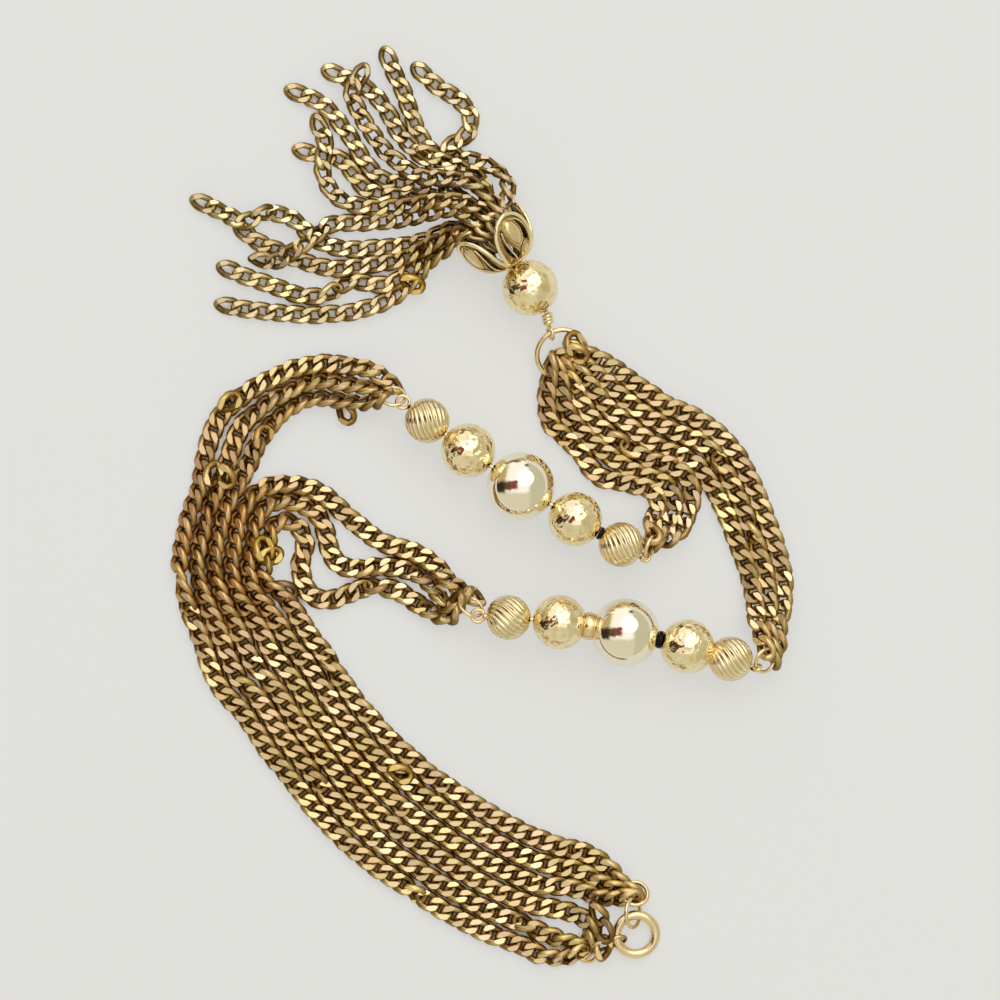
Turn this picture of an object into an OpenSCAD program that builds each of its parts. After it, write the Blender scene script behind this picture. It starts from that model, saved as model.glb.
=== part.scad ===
// Tassel necklace of curb chains, bead bars, a petal cap and a ring clasp, lying on a flat surface.
// x runs to the right, y runs away from the wearer's side of the table, z runs up from the surface.

/* [Whole necklace] */
// Width from side to side as it lies
whole_w = 108; // [106:0.5:110]
// Length from the tassel's free ends to the clasp as it lies
whole_l = 160; // [158:0.5:162]

/* [Chains] */
// Width of a chain that lies flat
chain_w = 3.2; // [2.8:0.1:3.4]
// Height of a chain that lies flat
chain_t = 1.9; // [1.5:0.1:2]
// Gap between a chain's end and the ring that holds it
end_gap = 0.65; // [0.3:0.05:0.8]

/* [Beads] */
// Diameter of the smooth middle beads
smooth_d = 11.9; // [11:0.1:12.4]
// Diameter of the hammered beads
hammered_d = 9.5; // [8.8:0.1:10]
// Diameter of the fluted end beads
fluted_d = 7.8; // [7:0.1:8.2]
// Number of flutes round a fluted bead
flutes = 20; // [14:1:24]
// Depth of a flute
flute_depth = 0.35; // [0.15:0.05:0.5]
// Slant of the flutes from hole to hole, in degrees
flute_slant = 24; // [0:2:40]
// Hole through the beads
bore_d = 1.5; // [1.3:0.1:1.8]
// Diameter of the bead above the tassel
drop_bead_d = 9.8; // [9:0.1:10.4]

/* [Bead bars] */
// Diameter of the wire that carries the beads
bar_wire = 0.8; // [0.6:0.05:1]
// Outside diameter of the flat eye at the left end of a bar and on the drop
eye_d = 2.8; // [2.6:0.1:3.2]
// Wire of the flat eyes
eye_wire = 0.6; // [0.45:0.05:0.65]
// Outside diameter of the small eye at the right end of a bar
small_eye_d = 2.1; // [2:0.1:2.4]
// Wire of the small eyes
small_eye_wire = 0.5; // [0.4:0.05:0.55]
// Bend of the upper bar out of straight
upper_bow = 0.75; // [0.3:0.05:1.2]
// Bend of the lower bar out of straight
lower_bow = 1.2; // [0.3:0.05:1.4]
// Gap between two beads that all but touch
bead_gap = 0.15; // [0.1:0.05:0.4]
// Gap between a hammered and a smooth bead
wide_gap = 0.35; // [0.2:0.05:0.6]
// Gap that holds a dark spacer
dark_gap = 0.4; // [0.35:0.05:0.8]
// Gap that holds the gold rondelle
rondelle_gap = 0.8; // [0.6:0.05:1.2]
// How far the last fluted bead sits into its neighbour's seat
nest = 0.9; // [0:0.1:1]
// Diameter of the dark spacers
dark_d = 3.1; // [2.4:0.1:3.6]
// Diameter of the gold rondelle
rondelle_d = 4.9; // [4:0.1:5.6]

/* [Rings and clasp] */
// Outside diameter of the four jump rings of the bars
jump_d = 4.9; // [4.6:0.1:5.2]
// Wire of the jump rings
jump_wire = 0.65; // [0.5:0.05:0.75]
// Outside diameter of the front ring that carries the drop
front_d = 9.8; // [9:0.1:10.4]
// Wire of the front ring
front_wire = 0.9; // [0.7:0.05:1]
// Outside diameter of the clasp ring
clasp_d = 8.6; // [8.2:0.1:9]
// Tube of the clasp ring
clasp_tube = 1.7; // [1.4:0.1:1.8]
// Outside diameter of the ring that gathers the inner long chains
gather_d = 5.3; // [5:0.1:5.6]
// Wire of that ring
gather_wire = 0.8; // [0.65:0.05:0.9]
// Outside diameter of the link between that ring and the clasp
link_d = 5.8; // [5.6:0.1:6.2]
// Wire of that link
link_wire = 0.7; // [0.5:0.05:0.75]
// Outside diameter of the catch ring at the end of the outer long chains
catch_d = 4.8; // [4.4:0.1:5.2]
// Wire of the catch ring
catch_wire = 0.75; // [0.6:0.05:0.8]
// Length of the oval link that closes the necklace
oval_len = 6.8; // [6.6:0.1:7.4]
// Width of the oval link
oval_w = 3.5; // [3.3:0.1:3.8]
// Wire of the oval link
oval_wire = 0.65; // [0.5:0.05:0.7]

/* [Drop and tassel] */
// Length of the petal cap along its axis
cap_len = 8.7; // [8:0.1:9.4]
// Outside diameter of the cap's mouth
cap_d = 13; // [12.4:0.1:13.6]
// Wall of the cap
cap_wall = 0.6; // [0.45:0.05:0.7]
// Fullness of the cap's shoulder
cap_full = 2.8; // [2:0.1:3.2]
// Diameter of the drop's pin
pin_d = 0.8; // [0.6:0.05:1]
// Diameter of the collar above the drop's bead
collar_d = 1.5; // [1.2:0.1:1.8]
// Length of the collar
collar_len = 2; // [1.6:0.1:2.2]
// Diameter of the head that holds the tassel's strands inside the cap
head_d = 6.4; // [5.6:0.1:6.8]

/* [Hidden] */
$fn = 64;

gold = [0.80, 0.66, 0.38];
pale_gold = [0.87, 0.78, 0.55];
old_gold = [0.62, 0.49, 0.27];
dark = [0.09, 0.08, 0.08];

// The places below are read from a chart with its y axis pointing down, which holds the necklace in chart_size
chart_size = [621, 920];
chart_mid = [481.42, 506.36];

function place(p) =
    [(p[0] - chart_mid[0]) * whole_w / chart_size[0], (chart_mid[1] - p[1]) * whole_l / chart_size[1]];
function unit(v) = v / norm(v);
function aim(az, down) = [cos(az) * cos(down), sin(az) * cos(down), -sin(down)];

// Bead bars: [chart place of the smooth bead, direction, side of the bend, bend]
upper_bar = [[521, 486], -32.6, 1, upper_bow];
lower_bar = [[625, 632], -10.9, -1, lower_bow];
bar_half = 19.7;
bar_z = smooth_d / 2;

// Latitude at which a fluted bead is cut flat round its hole
flute_end = 70;

// Beads along a bar, from left to right
bead_sizes = [fluted_d, hammered_d, smooth_d, hammered_d, fluted_d];
upper_gaps = [bead_gap, wide_gap, wide_gap, dark_gap];
lower_gaps = [2 * bead_gap, rondelle_gap, dark_gap, -nest];

function pitch(gaps, i) = (bead_sizes[i] + bead_sizes[i + 1]) / 2 + gaps[i];
function bead_s(gaps, i) =
    i == 2 ? 0 : i > 2 ? bead_s(gaps, i - 1) + pitch(gaps, i - 1) : bead_s(gaps, i + 1) - pitch(gaps, i);
left_reach = (fluted_d + eye_d) / 2;
right_reach = (fluted_d * sin(flute_end) + small_eye_d) / 2 + 0.05;
function eye_s(gaps, i) = i == 0 ? bead_s(gaps, 0) - left_reach : bead_s(gaps, 4) + right_reach;

// A point and a direction on the bent axis of a bar, s millimetres from the smooth bead
function bend_r(bar) = bar_half * bar_half / (2 * bar[3]);
function bend_a(bar, s) = s / bend_r(bar) * 180 / PI;
function bar_xy(bar, s) =
    let (r = bend_r(bar), a = bend_a(bar, s), x = r * sin(a), y = bar[2] * r * (1 - cos(a)))
    place(bar[0]) + [x * cos(bar[1]) - y * sin(bar[1]), x * sin(bar[1]) + y * cos(bar[1])];
function bar_point(bar, s) = concat(bar_xy(bar, s), [bar_z]);
function bar_angle(bar, s) = bar[1] + bar[2] * bend_a(bar, s);

// Rings: [centre, azimuth, fall, roll, outside diameter, wire], a ring's plane holds its azimuth
function ring_r(ring) = (ring[4] - ring[5]) / 2;
function ring_dir(ring, a) =
    let (u = [cos(a), sin(a) * cos(ring[3]), sin(a) * sin(ring[3])],
         v = [u[0] * cos(ring[2]) + u[2] * sin(ring[2]), u[1], -u[0] * sin(ring[2]) + u[2] * cos(ring[2])])
    [v[0] * cos(ring[1]) - v[1] * sin(ring[1]), v[0] * sin(ring[1]) + v[1] * cos(ring[1]), v[2]];
function ring_end(ring, a, turn) =
    let (p = ring[0] + (ring[4] / 2 + end_gap) * ring_dir(ring, a))
    [p[0], p[1], max(p[2], end_size * half_height(turn) + 0.02), turn];

// Each jump ring passes through the middle of its eye: [azimuth, fall, roll]
upper_left_way = [150, 20, 38];
upper_right_way = [62, 20, 70];
lower_left_way = [128, 20, 46];
lower_right_way = [38, 20, 38];
jump_r = (jump_d - jump_wire) / 2;
function jump_ring(bar, s, way) =
    [bar_point(bar, s) + jump_r * aim(way[0], way[1]), way[0], way[1], way[2], jump_d, jump_wire];
upper_left = jump_ring(upper_bar, eye_s(upper_gaps, 0), upper_left_way);
upper_right = jump_ring(upper_bar, eye_s(upper_gaps, 4), upper_right_way);
lower_left = jump_ring(lower_bar, eye_s(lower_gaps, 0), lower_left_way);
lower_right = jump_ring(lower_bar, eye_s(lower_gaps, 4), lower_right_way);

// Drop: its axis runs from the bead to the cap and rises until the cap's mouth clears the surface
drop_place = [530, 288];
drop_az = 124.5;
cap_clear = 0.3;
cap_start = drop_bead_d / 2 + 0.25;
cap_mouth = cap_start + cap_len;
drop_rise = atan2(cap_d / 2, cap_mouth) + asin((cap_clear - drop_bead_d / 2) / norm([cap_mouth, cap_d / 2]));
drop_centre = concat(place(drop_place), [drop_bead_d / 2]);
function drop_point(s, across, up) =
    drop_centre + s * aim(drop_az, -drop_rise) + across * aim(drop_az - 90, 0)
    - up * aim(drop_az, 90 - drop_rise);

// The pin leaves the bead and turns down to the eye that holds the front ring
tail_az = -79;
tail_fall = 13;
tail_len = collar_len + eye_d / 2 + 0.5;
tail_start = drop_point(-drop_bead_d / 2 - 0.1, 0, 0);
drop_eye = tail_start + tail_len * aim(tail_az, tail_fall);

// The front ring leans on the drop's eye and rests on the surface at its far side
front_r = (front_d - front_wire) / 2;
front_az = -60.6;
front_slack = 0.05;
front_high = drop_eye[2] - front_slack;
front_fall = asin((front_high - front_wire / 2 - 0.02) / (2 * front_r));
front_mid = drop_eye + [0, 0, -front_slack] + front_r * aim(front_az, front_fall);
front = [front_mid, front_az, front_fall, 0, front_d, front_wire];

// The clasp ring, the link that holds it and the ring that gathers the inner long chains
clasp_place = [636.5, 935.5];
clasp_r = (clasp_d - clasp_tube) / 2;
clasp_az = 135;
clasp_lift = 1.25;
clasp_rise = asin(clasp_lift / (2 * clasp_r));
clasp_mid = concat(place(clasp_place), [(clasp_tube + clasp_lift) / 2]);
clasp = [clasp_mid, clasp_az, -clasp_rise, 0, clasp_d, clasp_tube];
link_r = (link_d - link_wire) / 2;
link_az = 90;
link_roll = 74;
link_reach = 0.49;
link_low = link_r * sin(link_roll) + link_wire / 2;
clasp_top = clasp[0] + clasp_r * ring_dir(clasp, 100 - clasp_az);
link_mid = [clasp_top[0], clasp_top[1] + link_reach, link_low];
link = [link_mid, link_az, 0, link_roll, link_d, link_wire];
gather_r = (gather_d - gather_wire) / 2;
gather_az = 80;
gather_slack = 0.39;
gather_high = link_low;
gather_fall = asin((gather_high - gather_wire / 2) / (2 * gather_r));
gather_near = link_r - (link_wire + gather_wire) / 2 - gather_slack;
gather_mid = [link_mid[0], link_mid[1], gather_high] + gather_near * aim(link_az, 0)
    + gather_r * aim(gather_az, gather_fall);
gather = [gather_mid, gather_az, gather_fall, 0, gather_d, gather_wire];

// The catch ring at the end of the outer long chains
catch_place = [587.5, 951.5];
catch_az = 15;
catch_rise = 24;
catch_r = (catch_d - catch_wire) / 2;
catch_mid = concat(place(catch_place), [catch_wire / 2 + catch_r * sin(catch_rise)]);
catch = [catch_mid, catch_az, -catch_rise, 0, catch_d, catch_wire];

// The oval link stands on its side and goes round the catch ring and the clasp ring
oval_from = catch_mid + catch_r * ring_dir(catch, 3);
oval_to = clasp[0] + clasp_r * ring_dir(clasp, 198 - clasp_az);
oval_az = atan2(oval_to[1] - oval_from[1], oval_to[0] - oval_from[0]);
oval_span = norm([oval_to[0] - oval_from[0], oval_to[1] - oval_from[1]]);
oval_shift = (oval_span + (clasp_tube - catch_wire) / 2) / 2;
oval_mid = [oval_from[0] + oval_shift * cos(oval_az), oval_from[1] + oval_shift * sin(oval_az), oval_w / 2];
module oval_link() {
    arm = (oval_len - oval_w) / 2;
    bend = (oval_w - oval_wire) / 2;
    color(old_gold) translate(oval_mid) rotate([0, 0, oval_az]) rotate([90, 0, 0]) {
        for (s = [-1, 1]) {
            translate([s * arm, 0, 0]) rotate([0, 0, -s * 90])
                rotate_extrude(angle = 180) translate([bend, 0]) circle(d = oval_wire, $fn = 24);
            translate([0, s * bend, 0]) rotate([0, 90, 0])
                cylinder(d = oval_wire, h = 2 * arm, center = true, $fn = 24);
        }
    }
}

// Chain routes: [chart x, chart y, height of the underside, turn about the chain's own length in degrees]
lane_spine = [
    [244, 618, 3.55, 8], [262, 659, 3.58, 0], [285, 686, 3.5, 8], [309, 723, 3.46, 10], [330, 749, 3.46, 8],
    [346, 769, 3.56, 0], [372, 795, 3.64, 0], [401, 820, 3.7, 0], [430, 840, 3.7, 0], [458, 858, 3.7, 0],
    [484, 873, 3.7, 0], [510, 886, 3.7, 0], [541, 897, 3.7, 0]
];
// The six long chains lie side by side in lanes numbered from the left, three on each side of the spine
function lane_dir(i) =
    let (n = len(lane_spine) - 1, a = place(lane_spine[max(i - 1, 0)]), b = place(lane_spine[min(i + 1, n)]))
    unit(b - a);
function lane(k) = [
    for (i = [1 : len(lane_spine) - 1])
        let (d = lane_dir(i), p = place(lane_spine[i]), off = (k - 3.5) * lane_spine[i][2])
        at_height([p[0] - d[1] * off, p[1] + d[0] * off], 0, lane_spine[i][3])
];
outer_1 = [
    [372, 371, 2.2, 40], [347, 366, 0.8, 20], [312, 364, 0, 10], [276, 376, 0, 15], [243, 395, 0, 20],
    [219, 417, 0, 15], [207, 446, 0, 10], [200, 480, 0, 30], [190, 510, 0, 38], [182, 537, 0, 40],
    [179, 564, 0, 42], [183, 592, 0, 40], [192, 618, 0, 30], [202, 645, 0, 10]
];
outer_2 = [
    [370, 388, 1.8, 60], [346, 384, 0.6, 50], [312, 382, 0, 45], [285, 393, 0, 40], [258, 410, 0, 30],
    [239, 430, 0, 10], [229, 456, 0, 5], [219, 483, 0, 30], [208, 510, 0, 38], [200, 537, 0, 40],
    [196, 564, 0, 42], [201, 592, 0, 40], [212, 618, 0, 30], [222, 642, 0, 10]
];
outer_3 = [
    [368, 403, 1.4, 50], [344, 401, 0.3, 45], [314, 399, 0, 45], [292, 407, 0, 40], [272, 423, 0, 30],
    [259, 440, 0, 20], [249, 463, 0, 15], [236, 486, 0, 32], [224, 511, 0, 40], [217, 538, 0, 42],
    [213, 565, 0, 42], [219, 592, 0, 40], [230, 617, 0, 30], [241, 639, 0, 10]
];
inner_1 = [
    [452, 584, 2, 40], [436, 567, 0.7, 30], [417, 554, 0, 10], [398, 548, 0, 0], [379, 541, 0, 0],
    [361, 528, 0, 0], [345, 514, 0, 0], [330, 500, 0, 5], [312, 489, 0, 15], [292, 484, 0, 25],
    [273, 485, 0, 35], [257, 492, 0, 40], [245, 505, 0, 42], [237, 522, 0, 42], [234, 543, 0, 42],
    [230, 567, 0, 42], [236, 592, 0, 42], [250, 615, 0, 30], [262, 634, 0, 10]
];
inner_2 = [
    [447, 605, 1.8, 50], [433, 588, 0.6, 35], [415, 573, 0, 20], [396, 568, 0, 10], [376, 567, 0, 15],
    [357, 569, 0, 15], [341, 566, 0, 10], [330, 553, 0, 5], [326, 536, 0, 5], [320, 520, 0, 15],
    [308, 508, 0, 30], [292, 502, 0, 38], [275, 502, 0, 42], [262, 510, 0, 42], [254, 525, 0, 42],
    [251, 545, 0, 42], [247, 568, 0, 42], [252, 589, 0, 42], [266, 609, 0, 30], [279, 626, 0, 10]
];
inner_3 = [
    [450, 617, 1.4, 50], [434, 613, 0.5, 30], [415, 602, 0, 15], [396, 591, 0, 10], [376, 587, 0, 15],
    [358, 589, 0, 10], [342, 596, 0, 0], [325, 600, 0, 0], [310, 594, 0, 0], [302, 580, 0, 0],
    [300, 563, 0, 0], [304, 548, 0, 5], [301, 533, 0, 20], [291, 523, 0, 38], [279, 521, 0, 42],
    [271, 531, 0, 42], [268, 548, 0, 42], [263, 566, 0, 42], [264, 580, 0, 42], [276, 591, 0, 40],
    [288, 602, 0, 25], [298, 617, 0, 8]
];
// The last rows of the six long chains, from the lower run to the rings
outer_1_end = [[541, 956, 0, 20], [562, 959, 0, 40]];
outer_2_end = [[548, 936, 0, 20], [565, 941, 0, 55]];
outer_3_end = [[562, 911, 0, 8], [579, 917, 0, 30], [590, 926, 0.6, 60]];
inner_1_end = [[562, 887, 0, 5], [583, 892, 0, 20], [600, 898, 0, 45]];
inner_2_end = [[575, 870, 0, 5], [598, 881, 0, 40]];
inner_3_end = [[583, 853, 0, 5], [603, 864, 0, 30]];

short_outer_a = [
    [607, 364, 0.6, 45], [632, 381, 0, 15], [650, 394, 0, 10], [667, 405, 0, 10], [690, 414, 0, 10],
    [710, 427, 0, 10], [728, 443, 0, 10], [743, 465, 0, 20], [755, 489, 0, 25], [766, 517, 0, 25],
    [776, 545, 0, 25], [783, 572, 0, 30], [784, 600, 0.6, 45], [779, 625, 2.2, 60]
];
short_outer_b = [
    [606, 381, 0.4, 45], [622, 396, 0, 20], [640, 410, 0, 12], [657, 421, 0, 10], [675, 431, 0, 12],
    [694, 438, 0, 20], [711, 449, 0, 30], [723, 466, 0, 40], [736, 491, 0, 40], [748, 519, 0, 38],
    [758, 547, 0, 40], [766, 574, 0, 45], [770, 600, 0.6, 60], [768, 624, 2.2, 75]
];
short_outer_c = [
    [599, 395, 0.2, 45], [612, 411, 0, 20], [629, 425, 0, 12], [645, 438, 0, 12], [662, 448, 0, 12],
    [680, 455, 0, 15], [696, 463, 0, 10], [707, 476, 0, 10], [719, 497, 0, 12], [731, 523, 0, 18],
    [741, 550, 0, 25], [750, 576, 0, 40], [756, 601, 0.5, 55], [758, 623, 2, 70]
];
short_inner_a = [
    [584, 405, 0, 45], [599, 425, 0, 25], [617, 439, 0, 20], [634, 450, 0, 25], [651, 460, 0, 32],
    [668, 464, 0, 35], [683, 472, 0, 40], [692, 485, 0, 45], [692, 501, 0, 45], [686, 518, 0.7, 50],
    [678, 532, 2, 60]
];
short_inner_b = [
    [566, 407, 0, 45], [576, 424, 0, 30], [590, 439, 0, 20], [607, 453, 0, 20], [624, 465, 0, 28],
    [640, 474, 0, 40], [656, 479, 0, 45], [669, 487, 0, 48], [675, 501, 0, 50], [671, 516, 0.6, 55],
    [663, 529, 2.2, 65]
];
short_inner_c = [
    [547, 402, 0, 40], [552, 424, 0, 20], [567, 439, 0, 15], [580, 451, 0, 10], [590, 467, 0, 10],
    [604, 478, 0, 8], [622, 482, 0, 20], [638, 486, 0, 40], [652, 490, 0, 48], [659, 503, 0, 52],
    [656, 516, 0.6, 58], [650, 528, 2.4, 70]
];

// Tassel strands: [place across the mouth, place up the mouth, points from the mouth to the free end]
strands = [
    [-3.4, -1.6, [[447, 249, 2.2, 60], [430, 262, 0.8, 60], [412, 282, 0.2, 45], [388, 299, 0, 15],
        [360, 309, 0, 0], [325, 314, 0, 0], [285, 313, 0, 0], [250, 309, 0, 0], [227, 305, 0, 0]]],
    [-1.9, -3.2, [[446, 242, 0.4, 30], [425, 256, 0, 20], [412, 268, 0, 20], [397, 280, 0, 10],
        [378, 284, 0, 0], [358, 281, 0, 0], [342, 284, 0, 0], [326, 293, 0, 0], [306, 296, 0, 0],
        [282, 289, 0, 0], [253, 279, 0, 0], [229, 269, 0, 0]]],
    [-2.2, -0.9, [[448, 229, 1.6, 20], [425, 240, 0.4, 10], [400, 245, 0, 0], [375, 247, 0, 0],
        [352, 248, 0, 0], [332, 246, 0, 10], [311, 236, 0, 20], [297, 222, 0, 10], [276, 213, 0, 0],
        [257, 214, 0.8, 0], [243, 222, 0.9, 0], [225, 213, 0, 0], [202, 202, 0, 0]]],
    [-3.2, 0.9, [[447, 236, 3.4, 30], [427, 246, 1.8, 20], [405, 257, 0.4, 10], [385, 262, 0, 0],
        [366, 264, 0, 0], [347, 267, 0, 0], [330, 268, 0, 0], [308, 262, 0, 0], [283, 252, 0, 0],
        [262, 243, 0, 0], [244, 231, 0, 0]]],
    [-1.1, 1.9, [[456, 210, 5, 0], [434, 212, 3.2, 0], [400, 219, 1, 0], [364, 222, 0.2, 0],
        [331, 224, 0, 10], [318, 233, 0.8, 20], [305, 243, 1.9, 30], [291, 252, 1.9, 20],
        [277, 260, 0.8, 0], [261, 259, 0.2, 0]]],
    [1, 2.2, [[460, 202, 5.4, 20], [430, 202, 3.6, 10], [400, 206, 1.6, 0], [374, 207, 0.6, 0],
        [349, 203, 0.4, 10], [331, 190, 0.9, 20], [322, 166, 1.9, 20], [325, 144, 0.8, 10],
        [318, 125, 0, 0]]],
    [0, -3.4, [[452, 199, 0.6, 10], [425, 196, 0, 0], [398, 195, 0, 0], [377, 192, 0, 0],
        [360, 183, 0, 0], [352, 171, 0, 0], [343, 161, 0, 0], [330, 155, 0, 0], [318, 155, 0, 0],
        [305, 151, 0, 0]]],
    [0, -0.8, [[455, 193, 1.8, 20], [430, 187, 1.2, 0], [405, 184, 0.2, 0], [384, 179, 0, 0],
        [369, 166, 0, 0], [360, 152, 0, 0], [351, 138, 0, 0], [341, 124, 0, 0], [330, 110, 0, 0],
        [315, 99, 0, 0], [297, 92, 0, 0]]],
    [2.9, 1.4, [[473, 184, 5, 40], [447, 179, 3.2, 20], [422, 176, 1.9, 10], [401, 164, 1.2, 0],
        [384, 149, 1, 0], [369, 128, 1.8, 0], [357, 108, 0.6, 0], [352, 91, 1.4, 0],
        [360, 75, 1.8, 0]]],
    [2.1, -1.2, [[471, 181, 2.4, 40], [450, 171, 1.9, 10], [428, 160, 1.4, 0], [411, 146, 1.2, 0],
        [397, 130, 0.2, 0], [386, 110, 0, 0], [372, 92, 0, 0], [353, 80, 0, 0], [334, 72, 0, 0]]],
    [2, -3.4, [[474, 176, 0.4, 20], [452, 164, 0, 10], [434, 152, 0, 0], [421, 137, 0, 0],
        [413, 119, 0, 0], [405, 96, 0, 0], [396, 76, 0, 0], [388, 58, 0, 0]]],
    [0.9, 0.2, [[483, 184, 3.4, 20], [466, 171, 2.2, 10], [446, 162, 1.9, 0], [428, 154, 1.9, 0]]],
    [3.9, -0.4, [[509, 189, 3, 50], [500, 173, 1.6, 40], [480, 162, 0.6, 20], [460, 157, 0.4, 10],
        [447, 148, 0.2, 10], [457, 141, 0, 10], [468, 131, 0, 20], [470, 115, 0, 10], [458, 98, 0, 0],
        [438, 86, 0, 0], [422, 72, 0, 0]]]
];

// Cross-section of a chain as an eight-sided outline turned about its length
sides = 8;
function outline(turn, size) = [
    for (k = [0 : sides - 1])
        let (a = 360 * (k + 0.5) / sides, u = size * chain_w / 2 * cos(a) / cos(180 / sides),
             v = size * chain_t / 2 * sin(a) / cos(180 / sides))
        [u * cos(turn) - v * sin(turn), u * sin(turn) + v * cos(turn)]
];
function half_height(turn) = max([for (c = outline(turn, 1)) c[1]]);
function at_height(xy, lift, turn) = [xy[0], xy[1], lift + half_height(turn), turn];
function rows(route) = [for (p = route) at_height(place(p), p[2], p[3])];
function point(row) = [row[0], row[1], row[2]];

// A tube swept along its own rows, with one ring of points at each row
module tube(path, sizes) {
    n = len(path);
    points = [
        for (i = [0 : n - 1])
            let (t = unit(point(path[min(i + 1, n - 1)]) - point(path[max(i - 1, 0)])),
                 side = unit([-t[1], t[0], 0]), up = cross(t, side))
            for (c = outline(path[i][3], sizes[i]))
                point(path[i]) + c[0] * side + c[1] * up
    ];
    walls = [
        for (i = [0 : n - 2])
            for (k = [0 : sides - 1])
                let (a = i * sides + k, b = i * sides + (k + 1) % sides)
                for (f = [[a, a + sides, b], [b, a + sides, b + sides]]) f
    ];
    first = [for (k = [0 : sides - 1]) k];
    last = [for (k = [sides - 1 : -1 : 0]) (n - 1) * sides + k];
    polyhedron(points, concat(walls, [first], [last]));
}
end_size = 0.45;
next_size = 0.8;
module chain(path, shade) {
    n = len(path) - 1;
    color(shade)
        tube(path, [for (i = [0 : n]) let (e = min(i, n - i)) e == 0 ? end_size : e == 1 ? next_size : 1]);
}

module torus(d, wire) {
    rotate_extrude() translate([(d - wire) / 2, 0]) circle(d = wire, $fn = 24);
}
module ring(r, shade) {
    color(shade) translate(r[0]) rotate([0, 0, r[1]]) rotate([0, r[2], 0]) rotate([r[3], 0, 0])
        torus(r[4], r[5]);
}

// Puts its children on a bar's axis with x along the wire
module on_bar(bar, s) {
    p = bar_xy(bar, s);
    translate([p[0], p[1], bar_z]) rotate([0, 0, bar_angle(bar, s)]) children();
}
// A round bead whose hole runs along x
module bored_sphere(d) {
    rotate([0, 90, 0]) difference() {
        sphere(d = d);
        cylinder(d = bore_d, h = 2 * d, center = true);
    }
}

seat_gap = 0.12;
module smooth_bead(bar, gaps) {
    color(pale_gold) on_bar(bar, bead_s(gaps, 2)) bored_sphere(smooth_d);
}
module hammered_bead(bar, gaps, i) {
    far = i == 1 ? 0 : 4;
    away = bead_s(gaps, far) - bead_s(gaps, i);
    color(pale_gold) on_bar(bar, bead_s(gaps, i)) difference() {
        bored_sphere(hammered_d);
        if (abs(away) < (hammered_d + fluted_d) / 2)
            translate([away, 0, 0]) rotate([0, 90, 0]) sphere(r = fluted_d / 2 + seat_gap);
    }
}

// A fluted bead: ridges and grooves alternate round each ring of points and slant from hole to hole
flute_rows = 9;
module fluted_form() {
    round_n = 2 * flutes;
    points = [
        for (i = [0 : flute_rows - 1])
            let (lat = flute_end * (2 * i / (flute_rows - 1) - 1))
            for (k = [0 : round_n - 1])
                let (a = 360 * k / round_n + flute_slant * lat / flute_end / 2,
                     r = (fluted_d / 2 - flute_depth * (k % 2)) * cos(lat))
                [fluted_d / 2 * sin(lat), r * cos(a), r * sin(a)]
    ];
    walls = [
        for (i = [0 : flute_rows - 2])
            for (k = [0 : round_n - 1])
                let (a = i * round_n + k, b = i * round_n + (k + 1) % round_n)
                for (f = [[a, a + round_n, b], [b, a + round_n, b + round_n]]) f
    ];
    first = [for (k = [0 : round_n - 1]) k];
    last = [for (k = [round_n - 1 : -1 : 0]) (flute_rows - 1) * round_n + k];
    polyhedron(points, concat(walls, [first], [last]));
}
module fluted_bead(bar, gaps, i) {
    color(gold) on_bar(bar, bead_s(gaps, i)) difference() {
        fluted_form();
        rotate([0, 90, 0]) cylinder(d = bore_d, h = 2 * fluted_d, center = true);
    }
}

// A disc whose hollow faces follow the beads on either side of it
spacer_gap = 0.1;
module spacer(bar, gaps, i, d, shade) {
    a = bead_s(gaps, i);
    b = bead_s(gaps, i + 1);
    mid = (a + bead_sizes[i] / 2 + b - bead_sizes[i + 1] / 2) / 2;
    color(shade) on_bar(bar, mid) difference() {
        rotate([0, 90, 0]) cylinder(d = d, h = 2, center = true);
        for (e = [[a, i], [b, i + 1]])
            translate([e[0] - mid, 0, 0]) rotate([0, 90, 0])
                sphere(r = bead_sizes[e[1]] / 2 + spacer_gap, $fn = 240);
        rotate([0, 90, 0]) cylinder(d = bar_wire + 0.3, h = 4, center = true);
    }
}

// The bent wire of a bar with an eye at each end
module bar_wire_part(bar, gaps, way) {
    from = eye_s(gaps, 0) + (eye_d - eye_wire) / 2;
    to = eye_s(gaps, 4) - (small_eye_d - small_eye_wire) / 2;
    r = bend_r(bar);
    a = bend_a(bar, from);
    b = bend_a(bar, to);
    turn = bar[2] > 0 ? a - 90 : 90 - b;
    color(gold) {
        translate(concat(place(bar[0]), [bar_z])) rotate([0, 0, bar[1]]) translate([0, bar[2] * r, 0])
            rotate([0, 0, turn]) rotate_extrude(angle = b - a, $fn = 360)
                translate([r, 0]) circle(d = bar_wire, $fn = 24);
        on_bar(bar, eye_s(gaps, 0)) torus(eye_d, eye_wire);
        translate(bar_point(bar, eye_s(gaps, 4))) rotate([0, 0, way[0]]) rotate([0, way[1], 0])
            rotate([way[2] - 90, 0, 0]) torus(small_eye_d, small_eye_wire);
    }
}

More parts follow.
